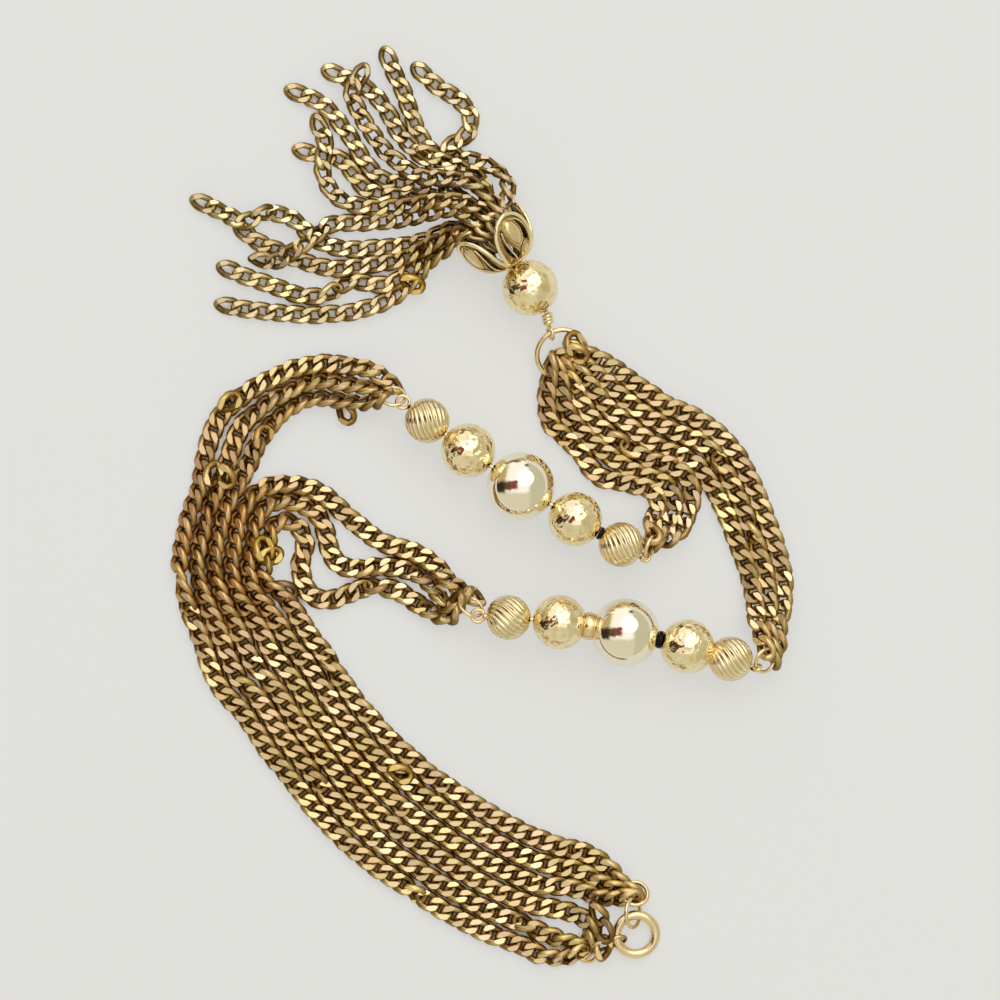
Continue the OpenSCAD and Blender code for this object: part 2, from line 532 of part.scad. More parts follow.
// Puts its children on the drop's axis with z along it
module on_drop(s) {
    translate(drop_point(s, 0, 0)) rotate([0, 0, drop_az]) rotate([0, 90 - drop_rise, 0]) children();
}
module drop_bead() {
    color(pale_gold) on_drop(0) difference() {
        sphere(d = drop_bead_d);
        cylinder(d = bore_d, h = 2 * drop_bead_d, center = true);
    }
}
pin_inside = 0.6;
module drop_pin() {
    color(gold) {
        on_drop(-drop_bead_d / 2 - 0.1)
            cylinder(d = pin_d, h = drop_bead_d / 2 + 0.1 + cap_start + pin_inside);
        on_drop(cap_start + pin_inside - 0.2) cylinder(d = 1.9 * pin_d, h = 0.5);
        translate(tail_start) {
            sphere(d = 1.3 * pin_d);
            rotate([0, 0, tail_az]) rotate([0, 90 + tail_fall, 0]) {
                cylinder(d = pin_d, h = tail_len - eye_d / 2 + eye_wire / 2);
                translate([0, 0, 0.35]) cylinder(d = collar_d, h = collar_len);
            }
        }
        translate(drop_eye) rotate([0, 0, tail_az]) rotate([0, tail_fall, 0])
            rotate([70, 0, 0]) torus(eye_d, eye_wire);
    }
}

// The cap is a full-shouldered dome cut into four leaf-shaped petals, each with two openings
cap_rows = 14;
cap_hole = 1.3;
cap_power = 2 / cap_full;
function dome(a, inset) =
    let (s = sin(a), c = max(0, cos(a)))
    [(cap_d / 2 - inset) * pow(s, cap_power), cap_len - (cap_len - inset) * pow(c, cap_power)];
function dome_start(inset) = asin(pow(cap_hole / (cap_d - 2 * inset), 1 / cap_power));
function dome_line(inset) =
    let (a = dome_start(inset))
    [for (i = [0 : cap_rows]) dome(a + (90 - a) * i / cap_rows, inset)];
function reversed(list) = [for (i = [len(list) - 1 : -1 : 0]) list[i]];
module dome_shell() {
    rotate_extrude() polygon(concat(dome_line(0), reversed(dome_line(cap_wall))));
}
// Cuts are drawn on a plane that leans with the dome's shoulder and run square to that plane
cut_lean = 40;
module through_wall(az) {
    rotate([0, 0, az]) rotate([0, 90 + cut_lean, 0]) rotate([0, 0, 90]) linear_extrude(12) children();
}
gap_edge = [
    [0.05, 0.9], [0.8, 1.3], [1.9, 2.5], [2.2, 4.2], [1.6, 6.3], [1.4, 7.6], [1.8, 8.7], [2.8, 9.4],
    [4.6, 9.8], [4.6, 14]
];
long_window = [
    [0.35, 3.4], [1.2, 5], [2, 6.3], [2.35, 7.5], [2.1, 8.4], [1.3, 8.2], [0.9, 7], [0.5, 5.5]
];
tip_window = [[2.2, 5.8], [2.4, 7.3], [2.1, 8.7], [1.2, 10], [0.6, 9.6], [1, 8.75], [1.4, 8], [1.6, 6.9]];
function mirrored(list, side) = [for (p = list) [side * p[0], p[1]]];
module petal_gap() {
    polygon(concat(gap_edge, reversed(mirrored(gap_edge, -1))));
}
petal_first = 180 + 35;
module petal_cap() {
    color(gold) on_drop(cap_start) difference() {
        dome_shell();
        for (k = [0 : 3]) {
            side = k % 2 == 0 ? 1 : -1;
            through_wall(petal_first + 90 * k) polygon(mirrored(long_window, side));
            through_wall(petal_first + 90 * k) polygon(mirrored(tip_window, -side));
            through_wall(petal_first + 45 + 90 * k) petal_gap();
        }
    }
}

// The tassel's strands are fused to a round head inside the cap
head_s = cap_start + cap_len - head_d / 2 - 0.6;
last_link = 1.4;
function beyond(path) =
    let (n = len(path) - 1, d = unit(point(path[n]) - point(path[n - 1])), p = path[n])
    concat(path, [[p[0] + last_link * d[0], p[1] + last_link * d[1], p[2], p[3]]]);
function strand_path(s) = beyond(concat(
    [concat(drop_point(head_s, s[0] * 0.35, s[1] * 0.35), [45])],
    [concat(drop_point(cap_mouth, s[0], s[1]), [45])],
    rows(s[2])));
module tassel() {
    color(old_gold) {
        on_drop(head_s) sphere(d = head_d, $fn = 32);
        for (s = strands) {
            path = strand_path(s);
            tube(path, [for (i = [0 : len(path) - 1]) i == 0 ? 0.5 : i == 1 ? 0.7 : 1]);
        }
    }
}

function long_outer(k, start, catch_a, end) =
    concat([ring_end(upper_left, [-52, 0, 52][k - 1], 60)], rows(start), lane(k), rows(end),
        [ring_end(catch, catch_a, 60)]);
module long_outer_1() {
    chain(long_outer(1, outer_1, 178, outer_1_end), old_gold);
}
module long_outer_2() {
    chain(long_outer(2, outer_2, 135, outer_2_end), old_gold);
}
module long_outer_3() {
    chain(long_outer(3, outer_3, 66, outer_3_end), old_gold);
}
function long_inner(k, start, end) =
    concat([ring_end(lower_left, [-52, 0, 52][k - 4], 60)], rows(start), lane(k), rows(end),
        [ring_end(gather, [148, 104, 60][k - 4], 60)]);
module long_inner_1() {
    chain(long_inner(4, inner_1, inner_1_end), old_gold);
}
module long_inner_2() {
    chain(long_inner(5, inner_2, inner_2_end), old_gold);
}
module long_inner_3() {
    chain(long_inner(6, inner_3, inner_3_end), old_gold);
}
function short_outer(rank, mid) =
    concat([ring_end(front, [85, 52, 20][rank], 85)], rows(mid),
        [ring_end(lower_right, [-22, 22, 64][rank], 80)]);
module short_outer_1() {
    chain(short_outer(0, short_outer_a), old_gold);
}
module short_outer_2() {
    chain(short_outer(1, short_outer_b), old_gold);
}
module short_outer_3() {
    chain(short_outer(2, short_outer_c), old_gold);
}
function short_inner(rank, mid) =
    concat([ring_end(front, [-12, -44, -77][rank], 85)], rows(mid),
        [ring_end(upper_right, [-45, 2, 50][rank], 80)]);
module short_inner_1() {
    chain(short_inner(0, short_inner_a), old_gold);
}
module short_inner_2() {
    chain(short_inner(1, short_inner_b), old_gold);
}
module short_inner_3() {
    chain(short_inner(2, short_inner_c), old_gold);
}

bar_wire_part(upper_bar, upper_gaps, upper_right_way);  // upper_wire
fluted_bead(upper_bar, upper_gaps, 0);  // upper_fluted_left
hammered_bead(upper_bar, upper_gaps, 1);  // upper_hammered_left
smooth_bead(upper_bar, upper_gaps);  // upper_smooth
hammered_bead(upper_bar, upper_gaps, 3);  // upper_hammered_right
spacer(upper_bar, upper_gaps, 3, dark_d * 0.75, dark);  // upper_dark_spacer
fluted_bead(upper_bar, upper_gaps, 4);  // upper_fluted_right
ring(upper_left, pale_gold);  // upper_jump_left
ring(upper_right, pale_gold);  // upper_jump_right
bar_wire_part(lower_bar, lower_gaps, lower_right_way);  // lower_wire
fluted_bead(lower_bar, lower_gaps, 0);  // lower_fluted_left
hammered_bead(lower_bar, lower_gaps, 1);  // lower_hammered_left
spacer(lower_bar, lower_gaps, 1, rondelle_d, gold);  // lower_rondelle
smooth_bead(lower_bar, lower_gaps);  // lower_smooth
spacer(lower_bar, lower_gaps, 2, dark_d, dark);  // lower_dark_spacer
hammered_bead(lower_bar, lower_gaps, 3);  // lower_hammered_right
fluted_bead(lower_bar, lower_gaps, 4);  // lower_fluted_right
ring(lower_left, pale_gold);  // lower_jump_left
ring(lower_right, pale_gold);  // lower_jump_right
ring(front, pale_gold);  // front_ring
drop_pin();
drop_bead();
petal_cap();
tassel();
ring(gather, pale_gold);  // gather_ring
ring(link, pale_gold);  // clasp_link
ring(clasp, gold);  // clasp_ring
oval_link();
ring(catch, pale_gold);  // catch_ring
long_outer_1();
long_outer_2();
long_outer_3();
long_inner_1();
long_inner_2();
long_inner_3();
short_outer_1();
short_outer_2();
short_outer_3();
short_inner_1();
short_inner_2();
short_inner_3();
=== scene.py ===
"""Looks of the tassel necklace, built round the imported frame. Sizes are in millimetres. Places in the tables
are points of a chart whose y axis points down. Meshes are made in metres in the frame's own axes."""
import math
import random

import bpy
import numpy as np
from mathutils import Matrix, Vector, noise


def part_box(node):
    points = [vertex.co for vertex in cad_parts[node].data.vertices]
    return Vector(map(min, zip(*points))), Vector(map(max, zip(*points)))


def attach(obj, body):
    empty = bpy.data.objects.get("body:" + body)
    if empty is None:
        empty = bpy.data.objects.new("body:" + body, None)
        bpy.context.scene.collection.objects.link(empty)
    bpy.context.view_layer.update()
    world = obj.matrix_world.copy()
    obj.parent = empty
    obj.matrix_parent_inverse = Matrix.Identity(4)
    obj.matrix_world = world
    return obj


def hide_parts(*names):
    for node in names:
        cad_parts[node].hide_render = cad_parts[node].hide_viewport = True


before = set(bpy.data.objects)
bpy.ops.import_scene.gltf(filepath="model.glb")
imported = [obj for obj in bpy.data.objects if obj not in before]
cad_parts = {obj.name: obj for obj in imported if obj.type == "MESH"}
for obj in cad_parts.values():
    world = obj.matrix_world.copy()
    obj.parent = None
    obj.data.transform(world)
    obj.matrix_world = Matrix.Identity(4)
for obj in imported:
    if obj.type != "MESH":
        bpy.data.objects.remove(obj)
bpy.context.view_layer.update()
MM = 0.001
FLOOR_GAP = 0.02
# the chart has so many points to a millimetre, and this one of them is the frame's middle
PER_MM = 5.75
MID = (481.42, 506.36)
VERTICAL = np.array([0, 0, 1.0])


def place(px, py):
    return np.array([(px - MID[0]) / PER_MM, (MID[1] - py) / PER_MM])


def sind(a):
    return math.sin(math.radians(a))


def cosd(a):
    return math.cos(math.radians(a))


def aim(az, down):
    return np.array([cosd(az) * cosd(down), sind(az) * cosd(down), -sind(down)])


def unit(v):
    return v / np.linalg.norm(v)


def unit_rows(v):
    return v / np.linalg.norm(v, axis=1)[:, None]


# sizes shared with the solids
CHAIN_W, CHAIN_T = 3.2, 1.9
SMOOTH_D, HAMMERED_D, FLUTED_D = 11.9, 9.5, 7.8
BORE_D, DROP_D = 1.5, 9.8
EYE_D, EYE_WIRE, SMALL_EYE_D = 2.8, 0.6, 2.1
UPPER_BOW, LOWER_BOW = 0.75, 1.2
BEAD_GAP, WIDE_GAP, DARK_GAP, RONDELLE_GAP, NEST = 0.15, 0.35, 0.4, 0.8, 0.9
JUMP_D, JUMP_WIRE = 4.9, 0.65
FRONT_D, FRONT_WIRE = 9.8, 0.9
CLASP_D, CLASP_TUBE = 8.6, 1.7
GATHER_D, GATHER_WIRE = 5.3, 0.8
LINK_D, LINK_WIRE = 5.8, 0.7
CATCH_D, CATCH_WIRE = 4.8, 0.75
OVAL_LEN, OVAL_W, OVAL_WIRE = 6.8, 3.5, 0.65
CAP_LEN, CAP_D, CAP_WALL, CAP_FULL = 8.7, 13.0, 0.6, 2.8
PIN_D, COLLAR_LEN, HEAD_D = 0.8, 2.0, 6.4
FLUTE_END = 70

# bars, each a tuple of its middle's chart place, its direction, which way it bows and how far
BAR_HALF = 19.7
BAR_Z = SMOOTH_D / 2
UPPER_BAR = ((521, 486), -32.6, 1, UPPER_BOW)
LOWER_BAR = ((625, 632), -10.9, -1, LOWER_BOW)
BEADS = (FLUTED_D, HAMMERED_D, SMOOTH_D, HAMMERED_D, FLUTED_D)
UPPER_GAPS = (BEAD_GAP, WIDE_GAP, WIDE_GAP, DARK_GAP)
LOWER_GAPS = (2 * BEAD_GAP, RONDELLE_GAP, DARK_GAP, -NEST)


def bead_s(gaps, i):
    """Where bead i lies along a bar, measured from its middle."""
    if i == 2:
        return 0.0
    if i > 2:
        return bead_s(gaps, i - 1) + (BEADS[i - 1] + BEADS[i]) / 2 + gaps[i - 1]
    return bead_s(gaps, i + 1) - (BEADS[i] + BEADS[i + 1]) / 2 - gaps[i]


def eye_s(gaps, i):
    """Where the eye beyond bead i lies along a bar."""
    if i == 0:
        return bead_s(gaps, 0) - (FLUTED_D + EYE_D) / 2
    return bead_s(gaps, 4) + (FLUTED_D * sind(FLUTE_END) + SMALL_EYE_D) / 2 + 0.05


def bow_radius(bar):
    return BAR_HALF ** 2 / (2 * bar[3])


def bar_point(bar, s):
    r = bow_radius(bar)
    a = math.degrees(s / r)
    x, y = r * sind(a), bar[2] * r * (1 - cosd(a))
    p = place(*bar[0]) + np.array([x * cosd(bar[1]) - y * sind(bar[1]), x * sind(bar[1]) + y * cosd(bar[1])])
    return np.array([p[0], p[1], BAR_Z])


def bar_angle(bar, s):
    return bar[1] + bar[2] * math.degrees(s / bow_radius(bar))


# rings, each a tuple of centre, direction, fall, roll, outer diameter and wire
def ring_dir(ring, a):
    """The direction from a ring's centre to place a on it."""
    _, az, fall, roll, _, _ = ring
    u = (cosd(a), sind(a) * cosd(roll), sind(a) * sind(roll))
    v = (u[0] * cosd(fall) + u[2] * sind(fall), u[1], -u[0] * sind(fall) + u[2] * cosd(fall))
    return np.array([v[0] * cosd(az) - v[1] * sind(az), v[0] * sind(az) + v[1] * cosd(az), v[2]])


JUMP_R = (JUMP_D - JUMP_WIRE) / 2
JUMP_FALL = 20


def jump_ring(bar, s, az, roll):
    centre = bar_point(bar, s) + JUMP_R * aim(az, JUMP_FALL)
    return (centre, az, JUMP_FALL, roll, JUMP_D, JUMP_WIRE)


UPPER_LEFT = jump_ring(UPPER_BAR, eye_s(UPPER_GAPS, 0), 150, 38)
UPPER_RIGHT = jump_ring(UPPER_BAR, eye_s(UPPER_GAPS, 4), 62, 70)
LOWER_LEFT = jump_ring(LOWER_BAR, eye_s(LOWER_GAPS, 0), 128, 46)
LOWER_RIGHT = jump_ring(LOWER_BAR, eye_s(LOWER_GAPS, 4), 38, 38)

# drop
DROP_AZ = 124.5
CAP_CLEAR = 0.3
CAP_START = DROP_D / 2 + 0.25
CAP_MOUTH = CAP_START + CAP_LEN
DROP_RISE = math.degrees(math.atan2(CAP_D / 2, CAP_MOUTH)) + math.degrees(
    math.asin((CAP_CLEAR - DROP_D / 2) / math.hypot(CAP_MOUTH, CAP_D / 2)))
DROP_CENTRE = np.append(place(530, 288), DROP_D / 2)
DROP_X = aim(DROP_AZ, -DROP_RISE)
DROP_Y = aim(DROP_AZ - 90, 0)
DROP_Z = -aim(DROP_AZ, 90 - DROP_RISE)


def drop_point(s, across, up):
    return DROP_CENTRE + s * DROP_X + across * DROP_Y + up * DROP_Z


TAIL_AZ, TAIL_FALL = -79, 13
TAIL_LEN = COLLAR_LEN + EYE_D / 2 + 0.5
TAIL_START = drop_point(-DROP_D / 2 - 0.1, 0, 0)
DROP_EYE = TAIL_START + TAIL_LEN * aim(TAIL_AZ, TAIL_FALL)
FRONT_R = (FRONT_D - FRONT_WIRE) / 2
FRONT_AZ, FRONT_SLACK = -60.6, 0.05
FRONT_HIGH = DROP_EYE[2] - FRONT_SLACK
FRONT_FALL = math.degrees(math.asin((FRONT_HIGH - FRONT_WIRE / 2 - 0.02) / (2 * FRONT_R)))
FRONT = (DROP_EYE + np.array([0, 0, -FRONT_SLACK]) + FRONT_R * aim(FRONT_AZ, FRONT_FALL),
         FRONT_AZ, FRONT_FALL, 0, FRONT_D, FRONT_WIRE)

# clasp
CLASP_R = (CLASP_D - CLASP_TUBE) / 2
CLASP_LIFT = 1.25
CLASP_AZ = 135
CLASP = (np.append(place(636.5, 935.5), (CLASP_TUBE + CLASP_LIFT) / 2), CLASP_AZ,
         -math.degrees(math.asin(CLASP_LIFT / (2 * CLASP_R))), 0, CLASP_D, CLASP_TUBE)
LINK_R = (LINK_D - LINK_WIRE) / 2
# the clasp's link leans over more in the render than its solid, round the same centre
LINK_ROLL, SHOWN_ROLL = 74, 60
LINK_LOW = LINK_R * sind(LINK_ROLL) + LINK_WIRE / 2
CLASP_TOP = CLASP[0] + CLASP_R * ring_dir(CLASP, 100 - CLASP_AZ)
LINK_MID = np.array([CLASP_TOP[0], CLASP_TOP[1] + 0.49, LINK_LOW])
LINK = (LINK_MID, 90, 0, SHOWN_ROLL, LINK_D, LINK_WIRE)
GATHER_R = (GATHER_D - GATHER_WIRE) / 2
GATHER_FALL = math.degrees(math.asin((LINK_LOW - GATHER_WIRE / 2) / (2 * GATHER_R)))
GATHER_AZ, GATHER_SLACK = 80, 0.39
GATHER_SIDE = LINK_R - (LINK_WIRE + GATHER_WIRE) / 2 - GATHER_SLACK
GATHER_MID = LINK_MID + GATHER_SIDE * aim(90, 0) + GATHER_R * aim(GATHER_AZ, GATHER_FALL)
GATHER = (GATHER_MID, GATHER_AZ, GATHER_FALL, 0, GATHER_D, GATHER_WIRE)
CATCH_R = (CATCH_D - CATCH_WIRE) / 2
CATCH_RISE = 24
CATCH_MID = np.append(place(587.5, 951.5), CATCH_WIRE / 2 + CATCH_R * sind(CATCH_RISE))
CATCH = (CATCH_MID, 15, -CATCH_RISE, 0, CATCH_D, CATCH_WIRE)

# the middle of the band of six chains: chart x, chart y, space between chains, turn
LANE_SPINE = [
    (244, 618, 3.55, 8), (262, 659, 3.58, 0), (285, 686, 3.5, 8), (309, 723, 3.46, 10), (330, 749, 3.46, 8),
    (346, 769, 3.56, 0), (372, 795, 3.64, 0), (401, 820, 3.7, 0), (430, 840, 3.7, 0), (458, 858, 3.7, 0),
    (484, 873, 3.7, 0), (510, 886, 3.7, 0), (541, 897, 3.7, 0)]
# chain routes, rows of chart x, chart y and, where they aren't 0, turn and lift
ROUTES = {
    "long_outer_1": [
        (372, 371, 40, 2.2), (347, 366, 20, 0.8), (312, 364, 10), (276, 376, 15), (243, 395, 20),
        (219, 417, 15), (207, 446, 10), (200, 480, 30), (190, 510, 38), (182, 537, 40), (179, 564, 42),
        (183, 592, 40), (192, 618, 30), (202, 645, 10)],
    "long_outer_2": [
        (370, 388, 60, 1.8), (346, 384, 50, 0.6), (312, 382, 45), (285, 393, 40), (258, 410, 30),
        (239, 430, 10), (229, 456, 5), (219, 483, 30), (208, 510, 38), (200, 537, 40), (196, 564, 42),
        (201, 592, 40), (212, 618, 30), (222, 642, 10)],
    "long_outer_3": [
        (368, 403, 50, 1.4), (344, 401, 45, 0.3), (314, 399, 45), (292, 407, 40), (272, 423, 30),
        (259, 440, 20), (249, 463, 15), (236, 486, 32), (224, 511, 40), (217, 538, 42), (213, 565, 42),
        (219, 592, 40), (230, 617, 30), (241, 639, 10)],
    "long_inner_1": [
        (452, 584, 40, 2), (436, 567, 30, 0.7), (417, 554, 10), (398, 548), (379, 541), (361, 528),
        (345, 514), (330, 500, 5), (312, 489, 15), (292, 484, 25), (273, 485, 35), (257, 492, 40),
        (245, 505, 42), (237, 522, 42), (234, 543, 42), (230, 567, 42), (236, 592, 42), (250, 615, 30),
        (262, 634, 10)],
    "long_inner_2": [
        (447, 605, 50, 1.8), (433, 588, 35, 0.6), (415, 573, 20), (396, 568, 10), (376, 567, 15),
        (357, 569, 15), (341, 566, 10), (330, 553, 5), (326, 536, 5), (320, 520, 15), (308, 508, 30),
        (292, 502, 38), (275, 502, 42), (262, 510, 42), (254, 525, 42), (251, 545, 42), (247, 568, 42),
        (252, 589, 42), (266, 609, 30), (279, 626, 10)],
    "long_inner_3": [
        (450, 617, 50, 1.4), (434, 613, 30, 0.5), (415, 602, 15), (396, 591, 10), (376, 587, 15),
        (358, 589, 10), (342, 596), (325, 600), (310, 594), (302, 580), (300, 563), (304, 548, 5),
        (301, 533, 20), (291, 523, 38), (279, 521, 42), (271, 531, 42), (268, 548, 42), (263, 566, 42),
        (264, 580, 42), (276, 591, 40), (288, 602, 25), (298, 617, 8)],
    "short_outer_1": [
        (607, 364, 45, 0.6), (632, 381, 15), (650, 394, 10), (667, 405, 10), (690, 414, 10), (710, 427, 10),
        (728, 443, 10), (743, 465, 20), (755, 489, 25), (766, 517, 25), (776, 545, 25), (783, 572, 30),
        (784, 600, 45, 0.6), (779, 625, 60, 2.2)],
    "short_outer_2": [
        (606, 381, 45, 0.4), (622, 396, 20), (640, 410, 12), (657, 421, 10), (675, 431, 12), (694, 438, 20),
        (711, 449, 30), (723, 466, 40), (736, 491, 40), (748, 519, 38), (758, 547, 40), (766, 574, 45),
        (770, 600, 60, 0.6), (768, 624, 75, 2.2)],
    "short_outer_3": [
        (599, 395, 45, 0.2), (612, 411, 20), (629, 425, 12), (645, 438, 12), (662, 448, 12), (680, 455, 15),
        (696, 463, 10), (707, 476, 10), (719, 497, 12), (731, 523, 18), (741, 550, 25), (750, 576, 40),
        (756, 601, 55, 0.5), (758, 623, 70, 2)],
    "short_inner_1": [
        (584, 405, 45), (599, 425, 25), (617, 439, 20), (634, 450, 25), (651, 460, 32), (668, 464, 35),
        (683, 472, 40), (692, 485, 45), (692, 501, 45), (686, 518, 50, 0.7), (678, 532, 60, 2)],
    "short_inner_2": [
        (566, 407, 45), (576, 424, 30), (590, 439, 20), (607, 453, 20), (624, 465, 28), (640, 474, 40),
        (656, 479, 45), (669, 487, 48), (675, 501, 50), (671, 516, 55, 0.6), (663, 529, 65, 2.2)],
    "short_inner_3": [
        (547, 402, 40), (552, 424, 20), (567, 439, 15), (580, 451, 10), (590, 467, 10), (604, 478, 8),
        (622, 482, 20), (638, 486, 40), (652, 490, 48), (659, 503, 52), (656, 516, 58, 0.6),
        (650, 528, 70, 2.4)],
}
# the rows that end the long chains after the band
LONG_ENDS = {
    "long_outer_1": [(541, 956, 20), (562, 959, 40)],
    "long_outer_2": [(548, 936, 20), (565, 941, 55)],
    "long_outer_3": [(562, 911, 8), (579, 917, 30), (590, 926, 60, 0.6)],
    "long_inner_1": [(562, 887, 5), (583, 892, 20), (600, 898, 45)],
    "long_inner_2": [(575, 870, 5), (598, 881, 40)],
    "long_inner_3": [(583, 853, 5), (603, 864, 30)],
}
# rings where three chains start and end, each with the places of chains 1 to 3 on it
HOOKS = {
    "long_outer": (UPPER_LEFT, (-52, 0, 52), CATCH, (178, 135, 66)),
    "long_inner": (LOWER_LEFT, (-52, 0, 52), GATHER, (148, 104, 60)),
    "short_outer": (FRONT, (85, 52, 20), LOWER_RIGHT, (-22, 22, 64)),
    "short_inner": (FRONT, (-12, -44, -77), UPPER_RIGHT, (-45, 2, 50)),
}
# tassel strands: place across the mouth, place up the mouth, rows from the mouth to the free end
STRANDS = [
    (-3.4, -1.6, [
        (447, 249, 60, 2.2), (430, 262, 60, 0.8), (412, 282, 45, 0.2), (388, 299, 15), (360, 309), (325, 314),
        (285, 313), (250, 309), (227, 305)]),
    (-1.9, -3.2, [
        (446, 242, 30, 0.4), (425, 256, 20), (412, 268, 20), (397, 280, 10), (378, 284), (358, 281),
        (342, 284), (326, 293), (306, 296), (282, 289), (253, 279), (229, 269)]),
    (-2.2, -0.9, [
        (448, 229, 20, 1.6), (425, 240, 10, 0.4), (400, 245), (375, 247), (352, 248), (332, 246, 10),
        (311, 236, 20), (297, 222, 10), (276, 213), (257, 214, 0, 0.8), (243, 222, 0, 0.9), (225, 213),
        (202, 202)]),
    (-3.2, 0.9, [
        (447, 236, 30, 3.4), (427, 246, 20, 1.8), (405, 257, 10, 0.4), (385, 262), (366, 264), (347, 267),
        (330, 268), (308, 262), (283, 252), (262, 243), (244, 231)]),
    (-1.1, 1.9, [
        (456, 210, 0, 5), (434, 212, 0, 3.2), (400, 219, 0, 1), (364, 222, 0, 0.2), (331, 224, 10),
        (318, 233, 20, 0.8), (305, 243, 30, 1.9), (291, 252, 20, 1.9), (277, 260, 0, 0.8),
        (261, 259, 0, 0.2)]),
    (1, 2.2, [
        (460, 202, 20, 5.4), (430, 202, 10, 3.6), (400, 206, 0, 1.6), (374, 207, 0, 0.6), (349, 203, 10, 0.4),
        (331, 190, 20, 0.9), (322, 166, 20, 1.9), (325, 144, 10, 0.8), (318, 125)]),
    (0, -3.4, [
        (452, 199, 10, 0.6), (425, 196), (398, 195), (377, 192), (360, 183), (352, 171), (343, 161),
        (330, 155), (318, 155), (305, 151)]),
    (0, -0.8, [
        (455, 193, 20, 1.8), (430, 187, 0, 1.2), (405, 184, 0, 0.2), (384, 179), (369, 166), (360, 152),
        (351, 138), (341, 124), (330, 110), (315, 99), (297, 92)]),
    (2.9, 1.4, [
        (473, 184, 40, 5), (447, 179, 20, 3.2), (422, 176, 10, 1.9), (401, 164, 0, 1.2), (384, 149, 0, 1),
        (369, 128, 0, 1.8), (357, 108, 0, 0.6), (352, 91, 0, 1.4), (360, 75, 0, 1.8)]),
    (2.1, -1.2, [
        (471, 181, 40, 2.4), (450, 171, 10, 1.9), (428, 160, 0, 1.4), (411, 146, 0, 1.2), (397, 130, 0, 0.2),
        (386, 110), (372, 92), (353, 80), (334, 72)]),
    (2, -3.4, [
        (474, 176, 20, 0.4), (452, 164, 10), (434, 152), (421, 137), (413, 119), (405, 96), (396, 76),
        (388, 58)]),
    (0.9, 0.2, [
        (483, 184, 20, 3.4), (466, 171, 10, 2.2), (446, 162, 0, 1.9), (428, 154, 0, 1.9)]),
    (3.9, -0.4, [
        (509, 189, 50, 3), (500, 173, 40, 1.6), (480, 162, 20, 0.6), (460, 157, 10, 0.4), (447, 148, 10, 0.2),
        (457, 141, 10), (468, 131, 20), (470, 115, 10), (458, 98), (438, 86), (422, 72)]),
]


def half_height(turn):
    """Half the height of a chain's eight-sided solid when it is turned round its own line."""
    top = 0
    for k in range(8):
        a = 45 * (k + 0.5)
        u = CHAIN_W / 2 * cosd(a) / cosd(22.5)
        v = CHAIN_T / 2 * sind(a) / cosd(22.5)
        top = max(top, u * sind(turn) + v * cosd(turn))
    return top


def at_height(xy, turn, lift=0):
    return [xy[0], xy[1], lift + half_height(turn), turn]


def route_row(px, py, turn=0, lift=0):
    return at_height(place(px, py), turn, lift)


def rows_of(route):
    return [route_row(*row) for row in route]


def lane(k):
    """The rows of chain k of the six side by side in the band."""
    n = len(LANE_SPINE) - 1
    out = []
    for i in range(1, n + 1):
        d = unit(place(*LANE_SPINE[min(i + 1, n)][:2]) - place(*LANE_SPINE[i - 1][:2]))
        p, off = place(*LANE_SPINE[i][:2]), (k - 3.5) * LANE_SPINE[i][2]
        out.append(at_height([p[0] - d[1] * off, p[1] + d[0] * off], LANE_SPINE[i][3]))
    return out


# materials
def new_material(name):
    material = bpy.data.materials.new(name)
    material.use_nodes = True
    return material, material.node_tree, material.node_tree.nodes["Principled BSDF"]


def feed(tree, target, inputs):
    """Gives a node's inputs numbers, colours or outputs of other nodes, by a socket's name or number."""
    for key, value in inputs.items():
        if isinstance(value, bpy.types.NodeSocket):
            tree.links.new(value, target.inputs[key])
        else:
            target.inputs[key].default_value = value


def node(tree, kind, inputs, **settings):
    new = tree.nodes.new("ShaderNode" + kind)
    for key, value in settings.items():
        setattr(new, key, value)
    feed(tree, new, inputs)
    return new


def ramp(tree, stops, value):
    new = node(tree, "ValToRGB", {0: value})
    elements = new.color_ramp.elements
    for element, (at, colour) in zip(elements, (stops[0], stops[-1])):
        element.position = at
        element.color = (*colour, 1)
    for at, colour in stops[1:-1]:
        elements.new(at).color = (*colour, 1)
    return new.outputs[0]


def noise_at(tree, coords, scale, detail, rough):
    inputs = {"Vector": coords, "Scale": scale, "Detail": detail, "Roughness": rough}
    return node(tree, "TexNoise", inputs).outputs[0]


def math_node(tree, op, a, b, clamp=False):
    return node(tree, "Math", {0: a, 1: b}, operation=op, use_clamp=clamp).outputs[0]


def attribute(tree, name, output):
    return node(tree, "Attribute", {}, attribute_name=name).outputs[output]


